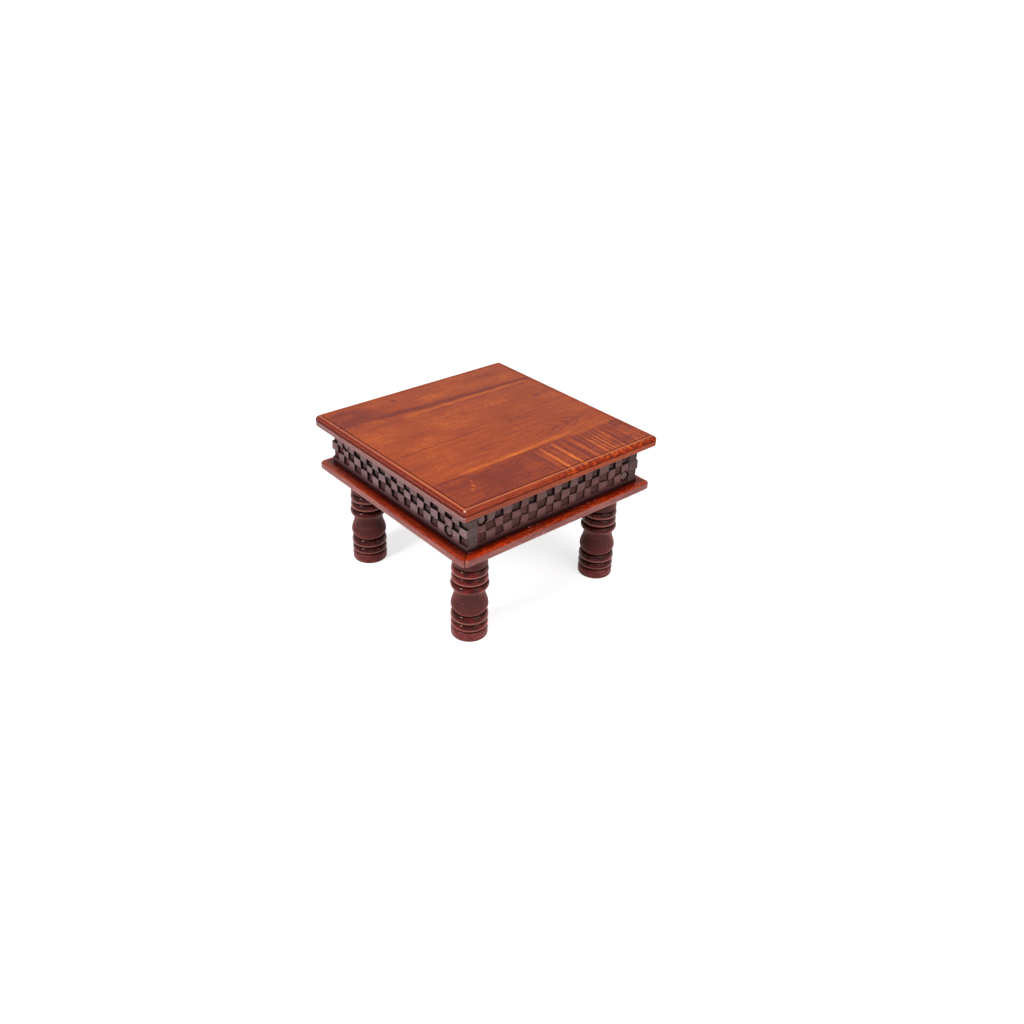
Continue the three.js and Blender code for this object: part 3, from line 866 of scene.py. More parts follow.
def make_plugs(material):
    """Round plugs over the apron screws, a little domed and pared by hand."""
    for number, node in enumerate(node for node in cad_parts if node.startswith("screw_plug")):
        low, high = span(node)
        way = outward(node.split("_")[2])
        radius = (high - low).max() / 2
        length = abs((high - low) @ way)
        profile = [(0, 0), (radius - PLUG_FOOT, 0), (radius, PLUG_FOOT), (radius, length - PLUG_EDGE_FOOT)]
        profile += arc(profile[-1], (radius - PLUG_EDGE, length - PLUG_EDGE_TOP), "y", 5)
        profile += [(radius * 0.5, length - PLUG_CROWN), (0, length)]
        points, faces = lathe(profile, HOLE_SEGMENTS)
        uneven = []
        for x, y, z in points:
            hollow = grain_noise((x + PLUG_SEED_STEP * number, y, 0), PLUG_PARED_LENGTH)
            pared = PLUG_PARED * max(0, hollow) if z > length / 2 else 0
            shrink = 1 - PLUG_PARED_IN * pared
            uneven.append((x * shrink, y * shrink, z - pared))
        place = middle(low, high) - way * (length / 2)
        plug = make_piece("pared_" + node, aimed(uneven, place, way), faces)
        dress(plug, material, "plug_wood", node)


def make_blocks(material):
    """Corner blocks and cleats as in the frame, with their sawn edges eased."""
    for node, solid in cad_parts.items():
        if not node.startswith(("corner_block", "cleat_left", "cleat_right")):
            continue
        block = new_object("eased_" + node, solid.data.copy())
        with opened(block.data) as work:
            bmesh.ops.remove_doubles(work, verts=work.verts, dist=SAME_PLACE * MM)
            flat = math.radians(FLAT_ANGLE)
            bmesh.ops.dissolve_limit(work, angle_limit=flat, verts=work.verts, edges=work.edges)
        bevel = block.modifiers.new("ease", "BEVEL")
        bevel.width = BLOCK_EDGE * MM
        bevel.segments = 2
        bevel.limit_method = "ANGLE"
        bevel.angle_limit = math.radians(BLOCK_EDGE_ANGLE)
        settle(block)
        dress(block, material, "block_wood", node)


# Shader nodes

def paint(red, green, blue):
    """A colour as it shows on a screen, from 0 to 255, as the shader's linear colour."""
    def linear(value):
        value /= 255
        return value / 12.92 if value <= 0.04045 else ((value + 0.055) / 1.055) ** 2.4
    return (linear(red), linear(green), linear(blue), 1)


def adds(operation, swapped=False):
    """A method that adds a maths node for a value and the other number, if there is one."""
    def method(value, *other):
        values = (*other, value) if swapped else (value, *other)
        return value.nodes.maths(operation, *values)
    return method


class Value:
    """A number that the shader works out. Arithmetic with it adds nodes."""

    __add__ = adds("ADD")
    __sub__ = adds("SUBTRACT")
    __rsub__ = adds("SUBTRACT", swapped=True)
    __mul__ = adds("MULTIPLY")
    __truediv__ = adds("DIVIDE")
    __abs__ = adds("ABSOLUTE")
    highest = adds("MAXIMUM")
    root = adds("SQRT")

    def __init__(self, nodes, socket):
        self.nodes = nodes
        self.socket = socket

    def toward(self, other, share):
        """This value at a share of nought, the other at a share of one."""
        return (other - self) * share + self

    def centred(self, amount):
        """A noise moved from around a half to plus and minus half an amount."""
        return self * amount - amount / 2

    def ramp(self, low, high, first=0.0, last=1.0):
        """Goes smoothly from first to last as the value goes from low to high."""
        sockets = {"Value": self, "From Min": low, "From Max": high, "To Min": first, "To Max": last}
        made = self.nodes.add("ShaderNodeMapRange", sockets, interpolation_type="SMOOTHSTEP")
        return Value(self.nodes, made.outputs[0])

    def fade(self, low, high, first=1.0):
        """Falls smoothly from first to nought as the value goes from low to high."""
        return self.ramp(low, high, first, 0.0)

    def window(self, low, high, soft):
        """One between low and high, falling to nought over the soft length on each side."""
        return self.ramp(low - soft, low + soft) * self.fade(high - soft, high + soft)


class Nodes:
    """A tree of shader nodes."""

    def __init__(self, tree):
        self.tree = tree

    def add(self, kind, sockets=None, **settings):
        """A new node, with numbers or other nodes fed to its sockets."""
        made = self.tree.nodes.new(kind)
        for key, value in settings.items():
            setattr(made, key, value)
        for key, value in (sockets or {}).items():
            self.feed(made.inputs[key], value)
        return made

    def feed(self, socket, value):
        if isinstance(value, Value):
            value = value.socket
        if isinstance(value, bpy.types.NodeSocket):
            self.tree.links.new(value, socket)
        else:
            socket.default_value = value

    def maths(self, operation, *values):
        made = self.add("ShaderNodeMath", dict(enumerate(values)), operation=operation)
        return Value(self, made.outputs[0])


class Recipe(Nodes):
    """The nodes of one material, with the place on the part in millimetres."""

    def __init__(self, name):
        self.material = bpy.data.materials.new(name)
        self.material.use_nodes = True
        super().__init__(self.material.node_tree)
        self.surface = self.tree.nodes["Principled BSDF"]
        place = self.add("ShaderNodeTexCoord").outputs["Object"]
        self.place = self.vector("MULTIPLY", place, (1 / MM, 1 / MM, 1 / MM))
        self.x, self.y, self.z = self.split(self.place)

    def vector(self, operation, *values):
        return self.add("ShaderNodeVectorMath", dict(enumerate(values)), operation=operation).outputs[0]

    def split(self, vector):
        return [Value(self, socket) for socket in self.add("ShaderNodeSeparateXYZ", {0: vector}).outputs]

    def join(self, x, y, z):
        return self.add("ShaderNodeCombineXYZ", {0: x, 1: y, 2: z}).outputs[0]

    def noise(self, lengths, offset=(0, 0, 0), place=None, detail=2, roughness=0.5, distortion=0):
        """Noise with features about as long as the lengths along X, Y and Z."""
        moved = self.vector("ADD", self.place if place is None else place, offset)
        scaled = self.vector("MULTIPLY", moved, tuple(1 / length for length in lengths))
        sockets = {"Vector": scaled, "Scale": 1, "Detail": detail, "Roughness": roughness}
        made = self.add("ShaderNodeTexNoise", sockets | {"Distortion": distortion})
        return Value(self, made.outputs["Fac"])

    def mark(self, name):
        return Value(self, self.add("ShaderNodeAttribute", attribute_name=name).outputs["Fac"])

    def facing(self, axis):
        """How squarely the surface faces along an axis, either way."""
        normal = self.add("ShaderNodeNewGeometry").outputs["Normal"]
        return abs(self.split(normal)["XYZ".index(axis)])

    def edge_on(self):
        """Nought where the surface is seen square on, one where it turns away."""
        return Value(self, self.add("ShaderNodeLayerWeight", {"Blend": 0.5}).outputs["Facing"])

    def spot(self, x, y, length, width, soft, warp=0):
        """A soft-edged oval patch in plan, with its edge moved by a warp."""
        across, along = (self.x - x) / length, (self.y - y) / width
        distance = (across * across + along * along).root() + warp
        return distance.fade(1 - soft, 1)

    def streak(self, x_range, y, slope, width, sway):
        """A thin line along the grain between two places, fading at its ends."""
        distance = self.y - ((self.x - x_range[0]) * slope + y) + sway
        return abs(distance).fade(0, width) * self.x.window(*x_range, STREAK_FADE)

    def mix(self, share, first, second):
        """From one colour to another; each is a socket, or red, green and blue as they show on a screen."""
        sockets = {0: share}
        for place, colour in ((6, first), (7, second)):
            sockets[place] = paint(*colour) if isinstance(colour, tuple) else colour
        return self.add("ShaderNodeMix", sockets, data_type="RGBA").outputs[2]

    def coats(self, colour, *coats):
        """A colour under coats of (share, colour), laid one after the other."""
        for share, coat in coats:
            colour = self.mix(share, colour, coat)
        return colour

    def finish(self, colour, roughness, height, bump, **constants):
        """Sends the results to the shader; bump is the depth in millimetres of a height of one."""
        normal = self.add("ShaderNodeBump", {"Strength": 1, "Distance": bump * MM, "Height": height})
        results = {"Base Color": colour, "Roughness": roughness, "Normal": normal.outputs[0]}
        for socket, value in results.items():
            self.feed(self.surface.inputs[socket], value)
        for socket, value in constants.items():
            self.surface.inputs[socket.replace("_", " ")].default_value = value
        return self.material


# Top boards: the material

# Growth lines of the middle board: distance from the middle of the nest in shares, half width, strength
GROWTH_LINES = ((0.34, 0.14, 0.5), (0.62, 0.09, 0.8), (0.82, 0.07, 1), (1.02, 0.06, 0.8), (1.3, 0.05, 0.5))
NEST_X = 20
NEST_Y = -53
NEST_LENGTH = 84
NEST_HALF_WIDTH = 23

# Bright lines across the front board: place along X, half width, strength
FLAMES = (
    (1.5, 3.2, 0.6), (10.5, 5.2, 1), (21.5, 2.6, 0.45), (30.5, 5.2, 1), (43, 3.4, 0.4), (57, 5, 0.7),
    (67, 2.4, 0.45), (75, 4, 0.85), (81.5, 2.8, 0.7), (88, 3.4, 0.85), (94.5, 3.4, 0.7), (102, 4.6, 0.85),
    (112, 3.2, 0.66), (117.5, 2.2, 0.5), (124.5, 3, 0.62), (130.5, 2.2, 0.48), (137, 2.6, 0.5),
)
FLAME_SLANT = -0.04
FLAME_SLANT_FROM = -128

# Streaks along the grain: X range, Y at its start, slope, half width, sway, strength (below nought is dark)
STREAKS = (
    ((-102, 74), -84, 0.04, 5.5, 7, 0.36),
    ((66, 132), -86, 0, 4, 7, 0.3),
    ((-150, -108), FRONT_SEAM - 5, -0.04, 4, 7, 0.22),
    ((-66, 136), 79, -0.01, 5.5, 7, 0.4),
    ((-30, 64), FRONT_SEAM - 1.4, 0.01, 1.8, 1.2, -0.5),
    ((-150, 150), FRONT_SEAM + 0.3, 0, 0.8, 0, -0.16),
    ((-150, 150), BACK_SEAM, 0, 0.8, 0, -0.1),
    ((-92, 150), 94, -0.055, 7.5, 7, -0.55),
    ((-116, 140), 73, -0.012, 1.8, 2.4, -0.34),
    ((-132, 0), -8, 0.01, 1.9, 2.4, -0.42),
    ((32, 106), -5.5, 0.02, 1.8, 2.4, -0.36),
)

# Oval patches: X, Y, half length, half width, softness, warp, strength (below nought is dark)
PATCHES = (
    (-4, 112, 44, 15, 1, 0.8, 0.2),
    (-102, -101, 3, 8, 0.9, 0, 0.6),
    (-106, -110, 3.2, 7, 0.9, 0, 0.6),
    (-112, -117, 5, 3.6, 0.9, 0, 0.55),
    (106, 33, 6, 5, 0.9, 0, 0.24),
    (-112, 34, 60, 58, 1, 0, 0.08),
    (-20, 24, 70, 22, 1, 0, 0.12),
    (-120, 106, 84, 24, 1, 1.0, -0.55),
    (-120, 132, 54, 12, 0.9, 1.6, -0.36),
    (-48, 128, 6, 4.6, 0.9, 0, -0.8),
    (114, 31, 12, 6, 0.9, 1, -0.36),
    (-62, -114, 84, 30, 0.8, 0.8, -0.16),
    (108, -131, 26, 16, 0.8, 1.2, -0.5),
)
STREAK_FADE = 9
SEAM_BLEND = 0.05
FRONT_BOARD_SEED = 310
BACK_BOARD_SEED = 530
FRONT_BOARD_DARKER = 0.25
# Where the painted glint sits, on the front left corner of the top
CORNER_GLINT_PLACE = -148.2


def ripple(r, sway):
    """Light and dark across the grain at the right of the front board, its strong lines set one by one."""
    across = (r.y - FLAME_SLANT_FROM) * FLAME_SLANT + r.x + sway
    figure = r.noise((5, 70, 40), place=r.join(across, r.y, r.z), detail=1)
    total = figure.ramp(0.42, 0.66) * 0.34
    for place, width, strength in FLAMES:
        total = total.highest(abs(across - place).fade(0, width, strength))
    room = r.x.window(-10, 148, 8) * r.y.fade(FRONT_SEAM - 7, FRONT_SEAM - 1)
    return (total * r.y.ramp(-122, FRONT_SEAM, 1, 0.65) - 0.22) * room


def growth_nest(r, sway):
    """Nested growth lines of the middle board, closing in a blunt tip at the right."""
    ahead = (r.x - NEST_X).highest(0) / NEST_LENGTH
    aside = (r.y + sway - NEST_Y) / NEST_HALF_WIDTH
    ring = (ahead * ahead + aside * aside).root()
    total = 0
    for place, width, strength in GROWTH_LINES:
        total = abs(ring - place).fade(0, width, strength).highest(total)
    return total * r.x.ramp(-70, 70, 0.3, 1.0) * r.y.ramp(-79, -74)


def fascia_colour(r, ends, right, height, blotch, dots):
    """The upright band under the crease: greyer over end grain, with one scribed line, and its lower edge
    painted paler and pinker as a reflection.
    """
    fascia = r.mix(ends, r.mix(right, (160, 80, 60), (176, 84, 54)), (158, 122, 120))
    scribed = height.window(3.1, 4.0, 0.3) * (ends * 0.45 + 0.35)
    return r.coats(
        fascia,
        # painted reflection: the lower edge of the band paler and pinker
        (height.fade(1.6, 2.4, 0.6), r.mix(ends, (168, 90, 78), (142, 104, 104))),
        (blotch.ramp(0.42, 0.62, 0, 0.5), r.mix(ends, (146, 62, 44), (136, 94, 94))),
        (dots.ramp(0.5, 0.62, 0, 0.4), r.mix(ends, (186, 92, 52), (150, 100, 94))),
        (scribed, (116, 50, 48)),
    )


def ovolo_colour(r, ends, right, height, blotch, dots):
    """Colour of the painted shade on the ovolo: livelier at the right of its front edge, two worked lines
    over end grain.
    """
    threads = r.noise((16, 2.2, 1.1), (70, 0, 4), roughness=0.6)
    lively = blotch.ramp(0.48, 0.6, 0, 0.85) * (right * 0.9 + 0.1)
    broken = blotch.ramp(0.36, 0.56, 0.25, 0.75) * ends

    def worked_line(*shares):
        low, high = (MOULD_OVOLO_FOOT + share * OVOLO_RISE for share in shares)
        return height.window(low, high, 0.5) * broken

    return r.coats(
        r.mix(right, (142, 58, 36), (128, 36, 16)),
        (ends, (112, 38, 27)),
        (threads.ramp(0.48, 0.62, 0, 0.6), (100, 28, 16)),
        (lively * (1 - ends), (200, 70, 18)),
        (dots.ramp(0.5, 0.64) * ends * 0.8, (66, 22, 16)),
        (worked_line(0.5, 0.62), (172, 96, 80)),
        (worked_line(0.22, 0.34), (74, 22, 18)),
    )


def moulding_colours(r, board):
    """Painted shade on the ovolo and in the recesses, pale on the arris where the finish is rubbed and as a
    painted highlight, a painted glint on the front left corner, greyer over the end grain.
    """
    ends = r.facing("X").ramp(0.2, 0.5)
    right = r.x.ramp(-50, 20)
    height = r.z - TOP_LOW[2]
    blotch = r.noise((7, 7, 3.5), (3, 40, 9), detail=3, roughness=0.6)
    dots = r.noise((2.6, 2.6, 1.3), (11, 6, 2), roughness=0.6)
    on_left_or_right = (abs(r.x) - abs(r.y)).ramp(-0.5, 0.5)
    seen = (r.x + r.y).ramp(-0.5, 0.5, 1, 0.25)
    low = height.fade(MOULD_CREASE - 0.4, MOULD_CREASE + 0.2) * r.facing("Z").fade(0.3, 0.6)
    ovolo_shade, wear = r.mark("ovolo_shade"), r.mark("wear")
    # painted shade on the ovolo
    ovolo_shaded = ovolo_shade.ramp(0.3, 0.72).toward(ovolo_shade.ramp(0, 0.4), on_left_or_right)
    # the arris: pale where the finish is rubbed, and a painted highlight
    worn = wear.ramp(0.2, 0.55).toward(wear.ramp(0.14, 0.42), on_left_or_right)
    side_arris = r.mix(r.y.ramp(-60, 60), (184, 100, 66), (164, 92, 74))
    # painted glint on the front left corner of the top
    corner_glint = r.spot(CORNER_GLINT_PLACE, CORNER_GLINT_PLACE, 2, 2, 0.8) * height.ramp(TOP_THICKNESS - 6, TOP_THICKNESS - 4)
    return r.coats(
        board,
        (low * 0.95, fascia_colour(r, ends, right, height, blotch, dots)),
        (ovolo_shaded * 0.95, ovolo_colour(r, ends, right, height, blotch, dots)),
        (worn * blotch.ramp(0.3, 0.6, 1, 0.75) * seen, r.mix(on_left_or_right, (184, 100, 64), side_arris)),
        # painted shade in the crease and the quirk
        (r.mark("recess") * seen * 0.9, (74, 22, 15)),
        (corner_glint, (222, 186, 172)),
    )


def top_wood():
    """Stained hardwood boards: grain along X, a seed for each board, and the marks that the boards carry."""
    r = Recipe("top_wood")
    wobble = r.noise((26, 14, 30), (40, 0, 0))
    bent_y = r.y + r.noise((95, 48, 60), detail=1).centred(14) + wobble.centred(3)
    front = r.y.fade(FRONT_SEAM - SEAM_BLEND, FRONT_SEAM + SEAM_BLEND)
    back = r.y.ramp(BACK_SEAM - SEAM_BLEND, BACK_SEAM + SEAM_BLEND)
    seed = front * FRONT_BOARD_SEED + back * BACK_BOARD_SEED
    bent = r.join(r.x + seed, bent_y, r.z + seed)
    slant = r.join(r.y * 0.45 + r.x, r.x * -0.35 + bent_y, r.z)
    streaks = r.noise((48, 2.2, 2), place=bent, detail=3, roughness=0.6)
    pores = r.noise((6, 0.42, 0.5), place=bent, detail=1)
    figures = (
        (r.noise((170, 6, 9), place=bent, detail=3, roughness=0.6), 0.6),
        (streaks, 0.6),
        (r.noise((60, 34, 50), place=bent), 0.7),
        (r.noise((13, 9, 12), (0, 60, 20), detail=3, roughness=0.6), 0.4),
        (r.noise((5, 1.5, 4), place=slant, roughness=0.55), 0.85),
    )
    tone = front * -FRONT_BOARD_DARKER + 0.5
    for figure, amount in figures:
        tone = tone + figure.centred(amount)
    tone = tone + ripple(r, wobble.centred(4)) * 1.2 - growth_nest(r, wobble.centred(6)) * 0.24
    for *streak, sway, strength in STREAKS:
        tone = tone + r.streak(*streak, wobble.centred(sway)) * strength
    for *patch, warp, strength in PATCHES:
        tone = tone + r.spot(*patch, wobble.centred(warp)) * strength

    board = r.coats(
        r.mix(tone.ramp(0, 0.5), (118, 46, 34), (154, 66, 34)),
        (tone.ramp(0.46, 0.9), (182, 88, 38)),
        (tone.ramp(0.85, 1.35), (214, 114, 44)),
        (pores.ramp(0.58, 0.7) * 0.36, (84, 30, 20)),
        (r.facing("X").ramp(0.35, 0.75) * 0.5, (112, 56, 52)),
    )
    swell = r.noise((34, 22, 30), (0, 90, 0), detail=1)
    height = pores.ramp(0.6, 0.75) * -0.35 + streaks * 0.25 + swell * 1.4
    roughness = streaks * 0.1 + 0.3 + r.mark("recess") * 0.3
    return r.finish(moulding_colours(r, board), roughness, height, 0.08, Specular_IOR_Level=0.06)


# Other materials

def carved_layers(r, side_board, top_row, patch):
    """Colours of the sunk floors and the standing faces, redder at the far left and at the near corner."""
    at_left_end = r.y.ramp(84, 122) * r.x.fade(-100, -90)
    at_front_start = r.x.fade(-128, -104) * r.z.fade(ROW_TOP - 12, ROW_TOP - 8) * (1 - side_board) * 0.5
    floor = r.coats(
        r.mix(side_board, (98, 62, 60), (88, 68, 69)),
        (top_row * 0.7, (88, 72, 70)),
        (patch.ramp(0.35, 0.65, 0, 0.4), (58, 30, 29)),
        (at_left_end * 0.6, (106, 30, 32)),
        (at_front_start, (110, 34, 34)),
    )
    face = r.coats(
        r.mix(side_board, (138, 98, 97), (156, 126, 130)),
        (top_row * 0.6, (128, 108, 105)),
        (r.mark("tone").ramp(0.45, 0.95, 0, 0.5), (116, 76, 74)),
        (patch.fade(0.3, 0.65, 0.3), (96, 68, 66)),
        (at_left_end * 0.3, (118, 66, 68)),
        (at_front_start, (128, 56, 56)),
    )
    return floor, face


def carved_wood():
    """Dark staining over the carving: dusty standing faces, walls painted near black as shade, dark floors,
    dry end grain, painted shade towards the bottom.
    """
    r = Recipe("carved_wood")
    side_board = abs(r.x).ramp(APRON_BACK - 0.07, APRON_BACK + 0.03)
    top_row = r.z.ramp(ROW_TOP - BLOCK_HEIGHT - 1.5, ROW_TOP - BLOCK_HEIGHT + 1.5)
    fibres = r.noise((3, 3, 0.7), detail=3, roughness=0.65)
    speck = r.noise((1.3, 1.3, 1.3), (7, 3, 1), detail=3, roughness=0.65)
    patch = r.noise((16, 16, 12), (30, 11, 5))

    stand = r.mark("stand")
    floor, face = carved_layers(r, side_board, top_row, patch)
    # painted shade: the walls of the sunk cells and of the sockets near black
    wall_shade = stand.ramp(0.004, 0.035) * stand.fade(0.86, 0.95)
    wall_shade_strength = side_board.highest(top_row * 0.35 + 0.6) * 0.95
    grey = r.mix(speck.ramp(0.35, 0.65), (66, 50, 50), (120, 101, 98))
    brown = r.mix(speck.ramp(0.35, 0.65), (48, 30, 30), (98, 72, 70))
    outer = abs(r.y).ramp(APRON_REACH - 0.6, APRON_REACH - 0.3, 0, 0.85)
    end_grain = r.facing("Y") * side_board * outer * r.z.ramp(APRON_FOOT + 2, APRON_FOOT + 9)
    reach = abs(r.x).highest(abs(r.y))
    colour = r.coats(
        r.mix(stand.ramp(0.5, 0.96), floor, face),
        (fibres.fade(0.35, 0.65, 0.35), (44, 24, 22)),
        (speck.ramp(0.53, 0.7, 0, 0.4), (156, 124, 118)),
        (speck.fade(0.33, 0.47, 0.3), (34, 18, 17)),
        # near black painted shade on the walls
        (wall_shade * wall_shade_strength, (15, 6, 7)),
        # darker towards the bottom, partly staining and partly painted shade, then nearly black painted shade
        # where the apron meets the base strip
        (r.z.fade(APRON_FOOT + 5.5, APRON_FOOT + BOTTOM_MARGIN + 6, 0.8), (70, 34, 37)),
        (r.z.fade(APRON_FOOT + 1.2, APRON_FOOT + 6.5, 0.94), (30, 7, 6)),
        (end_grain, r.mix(r.x.ramp(0, 50, 0, 0.65), grey, brown)),
        (reach.fade(APRON_BACK + 0.3, APRON_BACK + 0.8, 0.8), (120, 76, 52)),
    )
    roughness = patch.ramp(0.3, 0.7, 0.5, 0.66)
    return r.finish(colour, roughness, fibres + speck * 0.7, 0.16, Specular_IOR_Level=0.08)


def lacquer(r, along, side_strip, tone, cloud, reach):
    """The lacquer on top of the base strips: painted shade against the apron, a painted highlight along the
    nose, painted glints and dark flecks.
    """
    lively = r.noise((5, 1.7, 2), place=along, roughness=0.6)
    # painted highlight along the nose
    nose_highlight = reach.window(BASE_REACH - 3.0, BASE_REACH - 1.6, 0.7) * cloud.ramp(0.4, 0.6, 0, 0.6)
    clear_of_apron = reach.ramp(APRON_REACH + 2.5, APRON_REACH + 6)
    # painted glints: bright orange flecks, fewer on the side strips, none against the apron
    painted_glints = lively.ramp(0.54, 0.66) * (side_strip * -0.5 + 0.8) * clear_of_apron
    return r.coats(
        r.mix(tone.ramp(0.42, 0.62), (104, 14, 4), (170, 44, 12)),
        (tone.ramp(0.6, 0.72), (202, 80, 22)),
        (side_strip * 0.4, (128, 50, 30)),
        (side_strip * r.y.ramp(40, 120) * 0.65, (146, 72, 56)),
        (cloud.ramp(0.45, 0.7, 0, 0.45), (100, 22, 8)),
        # painted shade where the strip meets the apron
        (reach.fade(APRON_REACH + 1, APRON_REACH + 7.5, 0.94), (66, 8, 5)),
        (nose_highlight, (200, 88, 46)),
        (painted_glints, r.mix(r.x.ramp(-90, 10), (198, 62, 14), (208, 84, 26))),
        (lively.fade(0.32, 0.45, 0.55), (92, 16, 8)),
    )


def base_wood():
    """Red lacquer over straight grain: painted shade against the apron, the upright edge painted pale as a
    reflection, a few scuffs.
    """
    r = Recipe("base_wood")
    side_strip = (abs(r.x) - abs(r.y)).ramp(-0.1, 0.1)
    along = r.mix(side_strip, r.join(r.x, r.y, r.z), r.join(r.y, r.x, r.z))
    reach = abs(r.x).highest(abs(r.y))
    streaks = r.noise((14, 0.9, 0.9), place=along, detail=3, roughness=0.6)
    tone = r.noise((46, 4, 5), place=along, detail=3, roughness=0.6) * 0.6 + streaks * 0.5
    cloud = r.noise((20, 20, 20), (5, 60, 0))
    grit = r.noise((1.2, 1.2, 1.2), (2, 7, 9), roughness=0.6)
    # painted reflection: the upright edge pale and pink
    edge = r.coats(
        r.mix(tone.ramp(0.38, 0.66), (132, 74, 70), (166, 102, 94)),
        (grit.ramp(0.5, 0.66, 0, 0.45), (104, 54, 52)),
    )
    scuffs = r.noise((2.2, 3.4, 5), place=along, detail=1).ramp(0.61, 0.68)
    scuffed_room = r.noise((40, 60, 60), (96, 20, 0), detail=1).ramp(0.47, 0.58) * 0.75
    colour = r.coats(
        r.mix(r.facing("Z").ramp(0.35, 0.6), edge, lacquer(r, along, side_strip, tone, cloud, reach)),
        (scuffs * scuffed_room * (side_strip * -0.8 + 1), (200, 122, 98)),
        (r.z.fade(BASE_LOW[2] + 0.2, BASE_LOW[2] + NOSE_UNDER + 0.4, 0.75), (92, 48, 42)),
    )
    return r.finish(colour, cloud * 0.14 + 0.22, streaks * 0.5 + cloud, 0.06, Specular_IOR_Level=0.12)


def leg_wood():
    """Turned members: polished red rings, plain lengths with lathe lines; lips painted pale as highlights,
    grooves painted black as shade, and painted sheen where the surface turns away.
    """
    r = Recipe("leg_wood")
    polish = r.mark("polish")
    matte = 1 - polish
    # painted sheen: brighter and redder where the surface turns away from the view
    edge_on_sheen = r.edge_on().ramp(0.25, 0.85)
    lines = r.noise((60, 60, 0.75), roughness=0.6)
    figure = r.noise((7, 7, 34), (12, 5, 0), detail=3, roughness=0.6, distortion=0.4)
    speck = r.noise((2.4, 2.4, 7), (3, 9, 0), detail=3, roughness=0.65)
    patch = r.noise((9, 9, 7), (31, 2, 6))

    swell = r.z.ramp(LEG_KNEE + 5, LEG_KNEE + 22)
    plain = r.mix(edge_on_sheen, r.mix(swell, (98, 43, 40), (78, 42, 41)), (134, 58, 54))
    far_rings = r.mix(edge_on_sheen, (84, 17, 13), (154, 36, 20))
    near_rings = r.mix(edge_on_sheen, (120, 26, 16), (190, 48, 18))
    rings = r.coats(
        r.mix((r.x + r.y).fade(-160, -100), far_rings, near_rings),
        (patch.ramp(0.44, 0.58, 0, 0.75), r.mix(edge_on_sheen, (40, 8, 9), (92, 20, 14))),
    )
    worn_foot = r.mix(patch.ramp(0.36, 0.64), (108, 44, 43), (138, 68, 65))
    colour = r.coats(
        r.mix(polish, plain, rings),
        (figure.ramp(0.4, 0.7, 0, 0.45) * (matte * 0.6 + 0.4), (116, 50, 44)),
        (matte * lines.ramp(0.46, 0.56, 0, 0.6), (46, 20, 20)),
        (speck.ramp(0.56, 0.72, 0, 0.3), (48, 22, 20)),
        # painted highlight on the lips
        (r.mark("lip").ramp(0.1, 0.8, 0, 0.85), (156, 94, 86)),
        # painted shade in the grooves and on the upper slopes of the rings
        (r.mark("groove") * 0.95, (12, 4, 4)),
        (r.z.ramp(LEG_HEIGHT - 12, LEG_HEIGHT - 8) * 0.8, (150, 104, 97)),
        (r.z.fade(LEG_FOOT - 1.6, LEG_FOOT - 0.6, 0.7), worn_foot),
    )
    height = lines * (polish * -0.8 + 1) + speck * 0.25
    tint = (1, 0.66, 0.62, 1)
    return r.finish(colour, polish * -0.4 + 0.54, height, 0.1, Specular_IOR_Level=0.2, Specular_Tint=tint)


def plug_wood():
    """End grain of the round plugs, dark in the pores."""
    r = Recipe("plug_wood")
    pores = r.noise((0.7, 0.7, 0.7), roughness=0.6)
    patch = r.noise((6, 6, 6), (4, 8, 15))
    colour = r.coats(
        r.mix(patch.ramp(0.3, 0.7), (80, 58, 55), (118, 93, 88)),
        (pores.ramp(0.5, 0.7, 0, 0.6), (50, 28, 26)),
    )
    return r.finish(colour, patch.ramp(0.3, 0.7, 0.5, 0.62), pores, 0.15)


def block_wood():
    """Bare sawn wood of the blocks and cleats."""
    r = Recipe("block_wood")
    bands = r.noise((9, 9, 90), detail=3, roughness=0.6)
    saw = r.noise((30, 30, 0.9))
    fibres = r.noise((0.8, 0.8, 14), detail=3, roughness=0.65)
    colour = r.coats(
        r.mix(bands.ramp(0.3, 0.7), (140, 100, 66), (178, 138, 98)),
        (fibres.ramp(0.5, 0.75, 0, 0.35), (98, 64, 40)),
    )
    return r.finish(colour, bands.ramp(0.3, 0.7, 0.7, 0.82), saw * 0.8 + fibres, 0.2, Specular_IOR_Level=0.3)


def zinc_steel():
    """Zinc-plated steel with dull patches."""
    r = Recipe("zinc_steel")
    patch = r.noise((1.6, 1.6, 1.6), detail=3, roughness=0.6)
    fine = r.noise((0.3, 0.3, 0.3))
    colour = r.mix(patch.ramp(0.35, 0.7), (150, 152, 154), (196, 196, 190))
    return r.finish(colour, patch.ramp(0.3, 0.7, 0.28, 0.45), fine, 0.02, Metallic=1.0)


# Stage

FLOOR_HALF = 30000
FLOOR_DROP = 0.1
FLOOR_GLOW = (0.72, 1)
GLOW_REACH = (350, 1500)
ROOM_LIGHT = 0.22

# Softboxes: azimuth from the front, elevation, width, height, power
PANELS = {
    "panel_overhead": (10, 78, 1200, 1200, 14),
    "panel_left": (-88, 30, 280, 400, 13),
    "panel_right": (4, 28, 1100, 900, 9),
}
PANEL_DISTANCE = 1500


def bearing(azimuth, elevation):
    """The way from the table to a place, by a turn about Z from the front and an angle over the floor."""
    level = math.cos(elevation)
    return Vector((math.sin(azimuth) * level, -math.cos(azimuth) * level, math.sin(elevation)))


